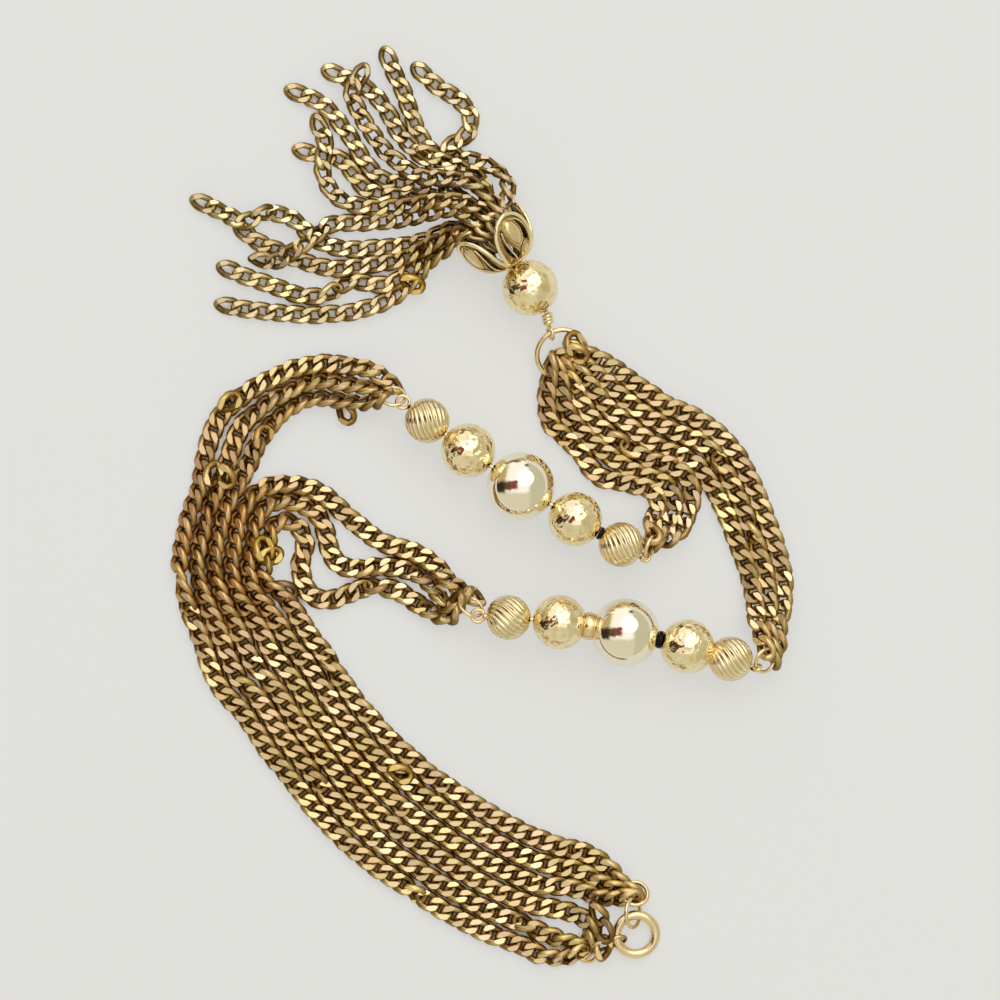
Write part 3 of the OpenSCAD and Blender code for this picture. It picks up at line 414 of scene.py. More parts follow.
def metal(name, stops, rough, wear_scale, wear_gain, bump, even=None, mottle=900):
    """Plated metal: its colour runs from painted shade in crevices and hollows to rubbed, brightest faces, by
    the mesh's wear_and_shade value and by noise, and an attribute tints single links. With even, that value is
    that number all over."""
    material, tree, bsdf = new_material(name)
    coords = node(tree, "TexCoord", {}).outputs["Object"]
    wear_and_shade = attribute(tree, "wear_and_shade", "Fac") if even is None else even
    fine = noise_at(tree, coords, mottle, 4, 0.65)
    broad = noise_at(tree, coords, wear_scale, 3, 0.55)
    chance = [math_node(tree, "MULTIPLY", math_node(tree, "SUBTRACT", texture, 0.5), gain)
              for texture, gain in ((broad, wear_gain), (fine, wear_gain * 0.8))]
    wear_and_shade = math_node(tree, "ADD", wear_and_shade, math_node(tree, "ADD", *chance), True)
    colour = ramp(tree, stops, wear_and_shade)
    if even is None:
        tinted = {0: 1.0, 6: colour, 7: attribute(tree, "tint", "Color")}
        colour = node(tree, "Mix", tinted, data_type="RGBA", blend_type="MULTIPLY").outputs[2]
    span = node(tree, "MapRange", {0: fine, 1: 0.3, 2: 0.7, 3: rough[0], 4: rough[1]})
    feed(tree, bsdf, {"Base Color": colour, "Metallic": 1.0, "Roughness": span.outputs[0]})
    if bump:
        relief = node(tree, "Bump", {"Strength": 0.35, "Distance": bump, "Height": fine})
        feed(tree, bsdf, {"Normal": relief.outputs[0]})
    return material


# colours from a metal's painted shade in its crevices and hollows to its rubbed, brightest faces
CHAIN_STOPS = [(0, (0.075, 0.028, 0.003)), (0.25, (0.2, 0.105, 0.022)), (0.55, (0.5, 0.345, 0.13)),
               (0.8, (0.78, 0.59, 0.29)), (1, (0.9, 0.72, 0.42))]
TASSEL_STOPS = [(0, (0.075, 0.035, 0.006)), (0.25, (0.2, 0.125, 0.034)), (0.55, (0.52, 0.385, 0.16)),
                (0.8, (0.8, 0.63, 0.33)), (1, (0.91, 0.76, 0.48))]
RING_STOPS = [(0, (0.2, 0.11, 0.03)), (0.5, (0.66, 0.47, 0.2)), (1, (0.97, 0.83, 0.54))]
FLUTE_STOPS = [(0, (0.12, 0.06, 0.015)), (0.45, (0.7, 0.53, 0.25)), (1, (1.0, 0.9, 0.63))]
SMOOTH_STOPS = [(0, (0.4, 0.28, 0.13)), (0.5, (0.87, 0.78, 0.58)), (1, (0.96, 0.9, 0.75))]
HAMMER_STOPS = [(0, (0.3, 0.18, 0.05)), (0.5, (0.8, 0.63, 0.31)), (1, (0.98, 0.87, 0.58))]
CAP_STOPS = [(0, (0.05, 0.025, 0.006)), (0.45, (0.55, 0.37, 0.13)), (1, (1.0, 0.86, 0.54))]
DARK_STOPS = [(0, (0.01, 0.008, 0.008)), (0.5, (0.025, 0.02, 0.016)), (1, (0.1, 0.07, 0.045))]
CHAIN_METAL = metal("chain_gold", CHAIN_STOPS, (0.37, 0.43), 300, 0.3, 0.00004)
TASSEL_METAL = metal("tassel_gold", TASSEL_STOPS, (0.37, 0.43), 300, 0.3, 0.00004)
RING_METAL = metal("ring_gold", RING_STOPS, (0.12, 0.26), 400, 0.5, 0.00015)
WIRE_METAL = metal("wire_gold", RING_STOPS, (0.12, 0.26), 400, 0.5, 0.00015, even=0.7)
SMOOTH_METAL = metal("polished_gold", SMOOTH_STOPS, (0.03, 0.08), 120, 0.25, 0, mottle=1800)
HAMMER_METAL = metal("hammered_gold", HAMMER_STOPS, (0.05, 0.14), 260, 0.4, 0.00005)
FLUTE_METAL = metal("fluted_gold", FLUTE_STOPS, (0.12, 0.24), 300, 0.3, 0.0001)
CAP_METAL = metal("cap_gold", CAP_STOPS, (0.14, 0.3), 350, 0.35, 0.0002)
DARK_METAL = metal("dark_spacer", DARK_STOPS, (0.25, 0.4), 400, 0.5, 0.0001, even=0.2)


# mesh helpers
def new_object(name, data):
    obj = bpy.data.objects.new(name, data)
    bpy.context.scene.collection.objects.link(obj)
    return obj


def make_piece(name, verts, faces, material, nodes, wear_and_shade, tint=1, sharp=None):
    """A piece that rides on the necklace and stands for some nodes, with wear and painted shade, and tint, at
    each point. Where sharp is given, edges of more degrees than that are sharp."""
    mesh = bpy.data.meshes.new(name)
    verts = np.array(verts)
    verts[:, 2] = np.maximum(verts[:, 2], FLOOR_GAP)
    mesh.from_pydata((verts * MM).tolist(), [], [list(map(int, f)) for f in faces])
    mesh.update()
    worn = np.full(len(verts), wear_and_shade, np.float32)
    mesh.attributes.new("wear_and_shade", "FLOAT", "POINT").data.foreach_set("value", worn)
    tints = np.ones((len(verts), 4), np.float32)
    tints[:, :3] = tint
    mesh.attributes.new("tint", "FLOAT_COLOR", "POINT").data.foreach_set("color", tints.ravel())
    mesh.shade_smooth()
    if sharp:
        mesh.set_sharp_from_angle(angle=math.radians(sharp))
    mesh.materials.append(material)
    obj = new_object(name, mesh)
    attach(obj, "root")
    if nodes:
        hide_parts(*nodes)
    return obj


def grid_faces(rows, around, closed=True):
    """Faces of a grid of points, closed round each row and, where closed, from the last row to the first."""
    faces = []
    for i in range(rows if closed else rows - 1):
        here, there = i * around, (i + 1) % rows * around
        for j in range(around):
            after = (j + 1) % around
            faces.append((here + j, there + j, there + after, here + after))
    return faces


def tube_along(points, radius, sides, closed=False):
    """Vertices and faces of a round wire along points; radius may be one number or one for each point."""
    pts = np.asarray(points, float)
    n = len(pts)
    rad = np.broadcast_to(radius, n)
    ahead = np.roll(pts, -1, 0) - np.roll(pts, 1, 0)
    if not closed:
        ahead[0], ahead[-1] = pts[1] - pts[0], pts[-1] - pts[-2]
    tan = unit_rows(ahead)
    level = VERTICAL if abs(tan[0][2]) < 0.9 else np.array([1.0, 0, 0])
    frames = [unit(np.cross(tan[0], level))]
    for i in range(1, n):
        frames.append(unit(frames[-1] - tan[i] * (frames[-1] @ tan[i])))
    frames = np.array(frames)
    side = np.cross(tan, frames)
    gap = math.atan2(frames[0] @ side[-1], frames[0] @ frames[-1]) if closed else 0
    a = np.linspace(0, 2 * math.pi, sides, endpoint=False) + np.linspace(0, gap, n)[:, None]
    out = np.cos(a)[..., None] * frames[:, None] + np.sin(a)[..., None] * side[:, None]
    verts = (pts[:, None] + out * rad[:, None, None]).reshape(-1, 3)
    faces = grid_faces(n, sides, closed)
    if not closed:
        verts = np.vstack([verts, pts[0], pts[-1]])
        middle, last = n * sides, (n - 1) * sides
        for j in range(sides):
            after = (j + 1) % sides
            faces += [(middle, j, after), (middle + 1, last + after, last + j)]
    return verts, faces


def join_parts(parts):
    """One vertex list and face list from several; each part is (verts, faces, wear and painted shade as values
    or one number).
    """
    verts, faces, wear_and_shade, base = [], [], [], 0
    for v, f, w in parts:
        verts.append(v)
        faces += [tuple(base + i for i in q) for q in f]
        wear_and_shade.append(np.broadcast_to(w, len(v)))
        base += len(v)
    return np.vstack(verts), faces, np.concatenate(wear_and_shade)


def spline(rows):
    """A smooth line through rows of x, y, z, turn, in 24 steps from one row to the next."""
    p = np.asarray(rows, float)
    knots = np.concatenate([[0], np.cumsum(np.sqrt(np.linalg.norm(np.diff(p[:, :3], axis=0), axis=1)))])
    p = np.vstack([2 * p[0] - p[1], p, 2 * p[-1] - p[-2]])
    knots = np.concatenate([[-knots[1]], knots, [knots[-1] + (knots[-1] - knots[-2])]])
    out = []
    for i in range(1, len(p) - 2):
        p0, p1, p2, p3 = p[i - 1:i + 3]
        t0, t1, t2, t3 = knots[i - 1:i + 3]
        m1 = (t2 - t1) * ((p1 - p0) / (t1 - t0) - (p2 - p0) / (t2 - t0) + (p2 - p1) / (t2 - t1))
        m2 = (t2 - t1) * ((p2 - p1) / (t2 - t1) - (p3 - p1) / (t3 - t1) + (p3 - p2) / (t3 - t2))
        for s in np.linspace(0, 1, 24, endpoint=False):
            near = (2 * s ** 3 - 3 * s ** 2 + 1) * p1 + (s ** 3 - 2 * s ** 2 + s) * m1
            out.append(near + (-2 * s ** 3 + 3 * s ** 2) * p2 + (s ** 3 - s ** 2) * m2)
    out.append(p[-2])
    return np.array(out)


def evenly(line, pitch):
    """Rows and directions at equal steps of about pitch along a dense line, and the step."""
    s = np.concatenate([[0], np.cumsum(np.linalg.norm(np.diff(line[:, :3], axis=0), axis=1))])
    length = s[-1]
    n = max(2, int(round(length / pitch)))
    at = np.arange(n + 1) * length / n
    middle, before, after = (
        np.stack([np.interp(q, s, line[:, k]) for k in range(4)], 1)
        for q in (at, np.maximum(at - pitch * 0.5, 0), np.minimum(at + pitch * 0.5, length)))
    return middle, unit_rows((after - before)[:, :3]), length / n


# places round a link's oval, close together where its top is cut flat
QUARTER = np.array([0, 20, 33, 47, 61, 74])
OVAL_ANGLES = np.radians(np.concatenate([QUARTER, 180 - QUARTER[:0:-1], 180 + QUARTER, 360 - QUARTER[:0:-1]]))
# places of a link's points round the lower part of its wire, and where the edge is on a ring that isn't cut
LOWER_ANGLES = [10, -30, -70, -110, -150, 170]
ROUND_EDGE, EDGE_STEP = 66, 10
# how far a link's ends are turned, how high its line may rise, and the shares of its wire that are cut off
TWIST, CREST = -50, 0.5
CUT_DEPTH, BASE_DEPTH = 0.3, 0.25
# cut faces set to the brightest colour: their polish, partly a painted highlight
FLAT_POLISH_AND_HIGHLIGHT = 1.25
# painted shade: a link's wire darkens from its rubbed top down to its lowest points
LOW_WEAR_AND_SHADE, HIGH_WEAR_AND_SHADE, WEAR_AND_SHADE_POWER = 0.22, 0.62, 3.8


def link_form(pitch, width, wire):
    """One curb link about its own centre, x along the chain: an oval of wire, its ends turned opposite ways,
    with faces cut flat on top. Returns points, faces, and which faces are cut."""
    a, b, r = (pitch + wire) / 2, (width - wire) / 2, wire / 2
    c, s = np.cos(OVAL_ANGLES), np.sin(OVAL_ANGLES)
    x = a * np.sign(c) * np.abs(c) ** 0.9
    y0 = b * np.sign(s) * np.abs(s) ** 0.85
    phi = np.radians(TWIST) * x / a
    z = CREST * np.tanh(y0 * np.sin(phi) / CREST)
    line = np.stack([x, y0 * np.cos(phi), z], 1)
    tan = unit_rows(np.roll(line, -1, 0) - np.roll(line, 1, 0))
    side = unit_rows(np.stack([tan[:, 1], -tan[:, 0], np.zeros(len(tan))], 1))
    up = np.cross(side, tan)
    top = line[:, 2].max() + r * (1 - CUT_DEPTH)
    base = line[:, 2].min() - r * (1 - BASE_DEPTH)
    reach = (top - line[:, 2]) / (r * up[:, 2])
    edge = np.where(reach < 0.995, np.degrees(np.arcsin(np.clip(reach, -1, 1))), ROUND_EDGE)
    upper = np.stack([np.full_like(edge, 90), edge, edge - EDGE_STEP], 1)
    upper_back = np.stack([180 - edge + EDGE_STEP, 180 - edge], 1)
    lower = np.tile(LOWER_ANGLES, (len(line), 1))
    around = np.radians(np.concatenate([upper, lower, upper_back], 1))[..., None]
    v = line[:, None] + r * (np.cos(around) * side[:, None] + np.sin(around) * up[:, None])
    v = v.reshape(-1, 3)
    on_top = v[:, 2] > top - 1e-4
    v[:, 2] = np.clip(v[:, 2], base, top)
    faces = np.array(grid_faces(len(line), around.shape[1]))
    return v, faces, on_top[faces].all(1)


def height_wear_and_shade(points):
    """How bright each point of a link is made: higher points are more rubbed, and lower points carry painted
    shade. the more, the higher it stands.
    """
    rise = points[:, 2] - points[:, 2].min()
    return LOW_WEAR_AND_SHADE + HIGH_WEAR_AND_SHADE * (rise / rise.max()) ** WEAR_AND_SHADE_POWER


TARNISH = [  # chart place, radius and colour of a patch of stain, and how strongly it colours a link
    ((215, 520), 95, (0.86, 0.62, 0.5), 0.75), ((235, 590), 60, (0.84, 0.66, 0.52), 0.6),
    ((265, 545), 26, (1.0, 0.98, 0.55), 0.9), ((362, 768), 30, (1.0, 0.97, 0.62), 0.8),
    ((300, 780), 70, (0.88, 0.84, 0.62), 0.6), ((560, 930), 26, (0.9, 0.94, 0.68), 0.7),
    ((412, 275), 22, (1.05, 0.95, 0.5), 0.9), ((440, 225), 40, (0.9, 0.72, 0.52), 0.6),
    ((230, 420), 55, (0.86, 0.78, 0.6), 0.5), ((380, 190), 80, (0.92, 0.9, 0.74), 0.5),
]


def link_tint(p, rng):
    """Colour factor of one link: small chance differences, and the patches of stain near it."""
    px, py = MID[0] + p[0] * PER_MM, MID[1] - p[1] * PER_MM
    tone = np.array([1.0, 1.0, 1.0]) * rng.uniform(0.82, 1.05)
    tone *= np.array([1.0, rng.uniform(0.93, 1.02), rng.uniform(0.82, 1.05)])
    for (cx, cy), radius, colour, gain in TARNISH:
        near = math.exp(-((px - cx) ** 2 + (py - cy) ** 2) / (2 * (radius / 1.6) ** 2))
        share = gain * near * rng.uniform(0.3, 1.0)
        tone = tone * (1 - share) + tone * np.array(colour) * share
    return np.clip(tone, 0.05, 1.1)


# how far links stray from their chain's line, and the share of them that stands out of it
LOOSE_YAW, LOOSE_TURN = 2.5, 8
UPSET_SHARE = 0.05


def chain_links(rows, pitch, width, wire, rng):
    """Points, faces, wear and painted shade, tint and cut faces of a whole chain of curb links along rows."""
    pos, direction, step = evenly(spline(rows), pitch)
    form, faces, cut = link_form(step, width, wire)
    verts, all_faces, wear_and_shade, tint = [], [], [], []
    for i, (x, turn) in enumerate(zip(direction, pos[:, 3])):
        yaw = rng.gauss(0, LOOSE_YAW)
        x = np.array([x[0] * cosd(yaw) - x[1] * sind(yaw), x[0] * sind(yaw) + x[1] * cosd(yaw), x[2]])
        side = unit(np.array([-x[1], x[0], 0.0]))
        up = np.cross(x, side)
        turn += rng.gauss(0, LOOSE_TURN)
        if rng.random() < UPSET_SHARE:
            turn += rng.choice((-1, 1)) * rng.uniform(25, 50)
        y = cosd(turn) * side + sind(turn) * up
        z = -sind(turn) * side + cosd(turn) * up
        middle = pos[i][:3] + rng.gauss(0, 0.05) * side + rng.gauss(0, 0.03) * up
        verts.append(middle + form[:, :1] * x + form[:, 1:2] * y + form[:, 2:3] * z)
        all_faces.append(faces + len(form) * i)
        # painted shade low on each link, rubbed wear on its top
        wear_and_shade.append(np.clip(height_wear_and_shade(verts[-1]) * rng.uniform(0.75, 1.1) + rng.uniform(-0.03, 0.05), 0, 1))
        tint.append(np.tile(link_tint(pos[i], rng), (len(form), 1)))
    cuts = np.tile(cut, len(pos))
    return np.vstack(verts), np.vstack(all_faces), np.concatenate(wear_and_shade), np.vstack(tint), cuts


def link_piece(name, chains, material, nodes=()):
    """One piece of all the links of some chains; their cut faces are bright, their polish with a painted
    highlight, and have sharp edges.
    """
    count = np.cumsum([0] + [len(c[0]) for c in chains])
    faces = np.vstack([c[1] + n for c, n in zip(chains, count)])
    verts, wear_and_shade, tint, cut = (np.concatenate([c[k] for c in chains]) for k in (0, 2, 3, 4))
    obj = make_piece(name, verts, faces, material, nodes, wear_and_shade, tint)
    mesh = obj.data
    mesh.attributes.remove(mesh.attributes["wear_and_shade"])
    value = wear_and_shade[faces]
    # cut faces brightest: polish and painted highlight
    value[cut] = FLAT_POLISH_AND_HIGHLIGHT
    mesh.attributes.new("wear_and_shade", "FLOAT", "CORNER").data.foreach_set("value", value.astype(np.float32).ravel())
    edge_of = np.empty(len(mesh.loops), np.int32)
    mesh.loops.foreach_get("edge_index", edge_of)
    beside = np.zeros(len(mesh.edges), int)
    np.add.at(beside, edge_of, np.repeat(cut, 4).astype(int))
    mesh.attributes.new("sharp_edge", "BOOLEAN", "EDGE").data.foreach_set("value", beside == 1)


# how far the end links reach in over these rings, and how high they lie on them; elsewhere USUAL_REACH
HOOK_REACH = ((FRONT, 1.9, 0.5), (GATHER, 1.3, 0.5), (CATCH, 0.4, 0.3))
USUAL_REACH = (-0.4, 0.2)
HOOK_TURN = 40


def hook(ring, a):
    """The row of a chain's end link at place a on a ring."""
    inward, lift = next(((far, high) for other, far, high in HOOK_REACH if other is ring), USUAL_REACH)
    p = ring[0] + ((ring[4] - ring[5]) / 2 - inward) * ring_dir(ring, a)
    return [p[0], p[1], max(p[2] * 0.8, CHAIN_T / 2) + lift, HOOK_TURN]


# pitch, width and wire of the links
LONG_LINK = (2.62, 3.8, 1.24)
TASSEL_LINK = (3.05, 3.4, 1.08)
# the links of the short chains lie flatter than their solids
SHORT_TURN = 0.3
for name, route in ROUTES.items():
    group, number = name[:-2], int(name[-1])
    first_ring, first_places, last_ring, last_places = HOOKS[group]
    body = rows_of(route)
    if name in LONG_ENDS:
        body += lane(number + 3 * (group == "long_inner")) + rows_of(LONG_ENDS[name])
    else:
        body = [[x, y, z, turn * SHORT_TURN] for x, y, z, turn in body]
    first, last = hook(first_ring, first_places[number - 1]), hook(last_ring, last_places[number - 1])
    links = chain_links([first] + body + [last], *LONG_LINK, random.Random(name))
    link_piece(name + "_links", [links], CHAIN_METAL, [name])

# single links that lie loose on the chains: chart place, height, direction, turn and tone
LOOSE_LINKS = [
    (213, 474, 2.7, 70, 12, (1.0, 0.95, 0.8)), (225, 476, 2.9, -65, 25, (1.05, 0.98, 0.8)),
    (270, 556, 2.4, 20, 10, (1.1, 1.02, 0.6)), (262, 549, 2.6, 85, 35, (1.05, 1.0, 0.6)),
    (229, 402, 2.7, 35, 20, (1.0, 0.98, 0.72)), (345, 412, 1.3, -60, 30, (0.85, 0.7, 0.5)),
    (285, 590, 1.4, -30, 30, (0.45, 0.4, 0.4)), (400, 774, 2.1, -20, 15, (1.08, 1.02, 0.65)),
    (605, 931, 2.9, -80, 30, (0.55, 0.48, 0.42)), (603, 949, 1.9, 80, 20, (1.1, 1.05, 0.9)),
    (598, 914, 2.7, -60, 35, (0.8, 0.7, 0.6)), (573, 344, 3.0, 80, 30, (0.9, 0.85, 0.7)),
    (577, 352, 3.2, -35, 40, (1.0, 0.95, 0.8)), (567, 357, 1.7, -25, 20, (1.05, 0.98, 0.85)),
    (412, 283, 2.3, -25, 30, (1.08, 0.98, 0.55)), (262, 437, 2.4, 60, 35, (0.95, 0.8, 0.6))]
form, faces, cut = link_form(*LONG_LINK)
loose_links = []
for px, py, z, az, turn, tone in LOOSE_LINKS:
    x = aim(az, 0)
    side = aim(az + 90, 0)
    y = cosd(turn) * side + sind(turn) * VERTICAL
    up = np.cross(x, y)
    v = np.append(place(px, py), z) + form[:, :1] * x + form[:, 1:2] * y + form[:, 2:3] * up
    # painted shade low on each loose link, rubbed wear on its top
    loose_links.append((v, faces, height_wear_and_shade(v), np.tile(tone, (len(v), 1)), cut))
link_piece("loose_links", loose_links, CHAIN_METAL)

# tassel, its strands close together in the head
HEAD_S = CAP_MOUTH - HEAD_D / 2 - 0.6
HEAD_SPREAD = 0.35
rng = random.Random("tassel")
strands = []
for across, up, route in STRANDS:
    head = drop_point(HEAD_S, across * HEAD_SPREAD, up * HEAD_SPREAD)
    mouth = drop_point(CAP_MOUTH, across, up)
    strands.append(chain_links([[*head, 45], [*mouth, 45]] + rows_of(route), *TASSEL_LINK, rng))
link_piece("tassel_strands", strands, TASSEL_METAL, ["tassel"])


# beads
def ball_angles(n_lat, n_lon, edge):
    """Latitudes up to an edge and longitudes of a grid on a ball whose poles lie on x."""
    lon = np.linspace(0, 2 * math.pi, n_lon, endpoint=False)
    return np.meshgrid(np.linspace(-edge, edge, n_lat), lon, indexing="ij")


def ball_grid(n_lat, n_lon, d):
    """Points of a unit ball for a bead of diameter d, with the holes of its bore at the poles."""
    la, lo = ball_angles(n_lat, n_lon, math.pi / 2 - math.asin(BORE_D / d))
    return np.stack([np.sin(la), np.cos(la) * np.cos(lo), np.cos(la) * np.sin(lo)], -1)


def turned(v, bar, s):
    """Points about a bead's centre, x along its wire, set at s on a bar."""
    a = bar_angle(bar, s)
    c, n = cosd(a), sind(a)
    p = bar_point(bar, s)
    return np.stack([v[:, 0] * c - v[:, 1] * n + p[0], v[:, 0] * n + v[:, 1] * c + p[1], v[:, 2] + p[2]], 1)


# marks to a millimetre and their depth, for the broad and the fine hammer marks
CRINKLE = ((0.85, 0.19), (2.3, 0.075))


def bead_mesh(grid):
    """A closed bead: a grid of points between its two holes, and a straight bore."""
    n_lat, n_lon, _ = grid.shape
    v = grid.reshape(-1, 3)
    faces = [tuple(reversed(f)) for f in grid_faces(n_lat, n_lon, False)]
    last = (n_lat - 1) * n_lon
    for j in range(n_lon):
        k = (j + 1) % n_lon
        faces.append((last + j, last + k, k, j))
    return v, faces


def smooth_bead(name, bar, solid):
    v, f = bead_mesh(ball_grid(72, 96, SMOOTH_D) * SMOOTH_D / 2)
    make_piece(name, turned(v, bar, 0.0), f, SMOOTH_METAL, [solid], 0.75, sharp=50)


def crinkle(points, radius, seed):
    """How far in each point of a sphere is pressed by fine overlapping hammer marks."""
    shift = Vector((seed, 2.0 * seed, 0))
    (broad, deep), (fine, shallow) = CRINKLE
    out = []
    for q in points:
        q = Vector(q) * radius
        out.append(deep * abs(noise.noise(q * broad + shift)) + shallow * abs(noise.noise(q * fine - shift)))
    return np.array(out)


def hammered_bead(name, set_in_place, d, solid, seed):
    grid = ball_grid(104, 144, d)
    ball = grid.reshape(-1, 3)
    press = crinkle(ball, d / 2, seed)
    v, f = bead_mesh((ball * (d / 2 - press)[:, None]).reshape(grid.shape))
    # painted shade: the deeper a hammer dent, the darker
    wear_and_shade = np.clip(0.95 - 3 * press, 0, 1)
    make_piece(name, set_in_place(v), f, HAMMER_METAL, [solid], wear_and_shade, sharp=60)


# flutes of a fluted bead, their slant and depth, where they end and over what angle they fade out there
FLUTES, FLUTE_SLANT, FLUTE_DEPTH = 20, -0.85, 0.28
FLUTE_EDGE, FLUTE_FADE = math.radians(78), 0.22


def fluted_bead(name, bar, s, solid):
    la, lo = ball_angles(50, FLUTES * 14, FLUTE_EDGE)
    groove = 1 - np.abs(np.cos((lo + FLUTE_SLANT * la) * FLUTES / 2)) ** 5
    groove *= np.clip((FLUTE_EDGE - np.abs(la)) / FLUTE_FADE, 0, 1)
    r = FLUTED_D / 2 - FLUTE_DEPTH * groove
    grid = np.stack([FLUTED_D / 2 * np.sin(la), r * np.cos(la) * np.cos(lo), r * np.cos(la) * np.sin(lo)], -1)
    v, f = bead_mesh(grid)
    # painted shade: grooves darker than the ridges
    wear_and_shade = (1 - 0.5 * groove).reshape(-1)
    make_piece(name, turned(v, bar, s), f, FLUTE_METAL, [solid], wear_and_shade, sharp=80)


for label, bar, gaps, seed in (("upper", UPPER_BAR, UPPER_GAPS, 11), ("lower", LOWER_BAR, LOWER_GAPS, 23)):
    smooth_bead(f"{label}_smooth_bead", bar, f"{label}_smooth")
    for i, end in ((1, "left"), (3, "right")):
        s = bead_s(gaps, i)
        hammered_bead(f"{label}_hammered_bead_{end}", lambda v: turned(v, bar, s), HAMMERED_D,
                      f"{label}_hammered_{end}", seed + i)
    for i, end in ((0, "left"), (4, "right")):
        fluted_bead(f"{label}_fluted_bead_{end}", bar, bead_s(gaps, i), f"{label}_fluted_{end}")


def rondelle():
    """The small gold ring on the lower bar, its rim rounded, with its solid's width and bore."""
    low, high = (np.array(c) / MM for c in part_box("lower_rondelle"))
    middle = (bead_s(LOWER_GAPS, 1) + HAMMERED_D / 2 + bead_s(LOWER_GAPS, 2) - SMOOTH_D / 2) / 2
    outer, inner, half = (high - low)[2] / 2, BORE_D / 2, 1.15
    profile = []
    for a in np.linspace(0, 360, 36, endpoint=False):
        c, n = cosd(a), sind(a)
        rise = (outer - inner) / 2 * np.sign(n) * abs(n) ** 0.9
        profile.append((half * np.sign(c) * abs(c) ** 0.8, (outer + inner) / 2 + rise))
    around = np.linspace(0, 360, 56, endpoint=False)
    v = np.array([(x, r * cosd(q), r * sind(q)) for q in around for x, r in profile])
    # painted shade: dark towards the bore between the beads, lightest at the outer rim
    wear_and_shade = [0.1 + 0.5 * (r / outer) ** 4 for _ in around for _, r in profile]
    faces = [tuple(reversed(f)) for f in grid_faces(len(around), len(profile))]
    make_piece("lower_rondelle_ring", turned(v, LOWER_BAR, middle), faces, FLUTE_METAL,
               ["lower_rondelle"], wear_and_shade)


rondelle()


def on_drop(v):
    """Points with x along the drop's axis from its bead, y across and z up, set in place."""
    v = np.asarray(v)
    return DROP_CENTRE + v[:, :1] * DROP_X + v[:, 1:2] * DROP_Y + v[:, 2:3] * DROP_Z


hammered_bead("drop_hammered_bead", on_drop, DROP_D, "drop_bead", 41)


# rings and wires
RINGS = {"upper_jump_left": UPPER_LEFT, "upper_jump_right": UPPER_RIGHT, "lower_jump_left": LOWER_LEFT,
         "lower_jump_right": LOWER_RIGHT, "front_ring": FRONT, "gather_ring": GATHER, "clasp_link": LINK,
         "clasp_ring": CLASP, "catch_ring": CATCH}
for name, ring in RINGS.items():
    centre, wire = ring[0], ring[5]
    line = [centre + (ring[4] - wire) / 2 * ring_dir(ring, a) for a in np.arange(0, 360, 5)]
    v, f = tube_along(line, wire / 2, 20 if ring is CLASP else 14, True)
    make_piece(name + "_wire", v, f, RING_METAL, [name], 0.75)


def oval_link():
    """The link between the catch ring and the clasp ring, on its side and leaning over a little."""
    lean = 30
    start = CATCH_MID + CATCH_R * ring_dir(CATCH, 3)
    span = (CLASP[0] + CLASP_R * ring_dir(CLASP, 198 - CLASP_AZ) - start)[:2]
    az = math.degrees(math.atan2(span[1], span[0]))
    shift = (np.linalg.norm(span) + (CLASP_TUBE - CATCH_WIRE) / 2) / 2
    middle = np.array([start[0], start[1], OVAL_W / 2]) + shift * aim(az, 0)
    across = cosd(lean) * VERTICAL + sind(lean) * aim(az + 90, 0)
    arm, bend = (OVAL_LEN - OVAL_W) / 2, (OVAL_W - OVAL_WIRE) / 2
    line = [middle + (arm * np.sign(cosd(a)) + bend * cosd(a)) * aim(az, 0) + bend * sind(a) * across
            for a in np.arange(5, 365, 10)]
    v, f = tube_along(line, OVAL_WIRE / 2, 12, True)
    # painted shade low on the oval link, rubbed wear on its top
    make_piece("oval_link_wire", v, f, CHAIN_METAL, ["oval_link"], height_wear_and_shade(v))


oval_link()

# petal cap
CAP_POWER = 2 / CAP_FULL
CAP_TURN = 180 + 28


def dome(a):
    """Radius and axial place on the cap's outer line, a from 0 at the tip to 90 at the mouth."""
    return CAP_D / 2 * sind(a) ** CAP_POWER, CAP_LEN - CAP_LEN * max(0.0, cosd(a)) ** CAP_POWER


DOME_A = np.linspace(0.5, 90, 400)
DOME_RZ = np.array([dome(a) for a in DOME_A])
DOME_S = np.concatenate([[0], np.cumsum(np.linalg.norm(np.diff(DOME_RZ, axis=0), axis=1))]) + DOME_RZ[0][0]


def cap_points(uv, az, lift):
    """Points in drop axes, u across the middle line of the petal at az, v down it from the tip, lifted."""
    out = []
    for (u, v), rise in zip(uv, np.broadcast_to(lift, len(uv))):
        r, z = (np.interp(v, DOME_S, DOME_RZ[:, k]) for k in (0, 1))
        dr, dz = (np.interp(v + 0.05, DOME_S, DOME_RZ[:, k]) - here for k, here in enumerate((r, z)))
        m = math.hypot(dr, dz) or 1
        a = math.radians(az) + u / max(r, 0.6)
        r += dz / m * rise
        out.append((CAP_START + z - dr / m * rise, -r * math.sin(a), -r * math.cos(a)))
    return np.array(out)


def smooth_loop(points):
    """A closed smooth line through points, in 6 steps from one to the next."""
    p = np.asarray(points, float)
    out = []
    for p0, p1, p2, p3 in zip(*(np.roll(p, k, 0) for k in (1, 0, -1, -2))):
        for s in np.linspace(0, 1, 6, endpoint=False):
            out.append(0.5 * (2 * p1 + (p2 - p0) * s + (2 * p0 - 5 * p1 + 4 * p2 - p3) * s ** 2
                              + (3 * p1 - p0 - 3 * p2 + p3) * s ** 3))
    return np.array(out)


def inside(poly, pts):
    """Which points lie inside a closed line."""
    x, y = pts[:, 0], pts[:, 1]
    hit = np.zeros(len(pts), bool)
    for (x1, y1), (x2, y2) in zip(poly, np.roll(poly, -1, 0)):
        hit ^= ((y1 > y) != (y2 > y)) & (x < (x2 - x1) * (y - y1) / (y2 - y1 + 1e-12) + x1)
    return hit


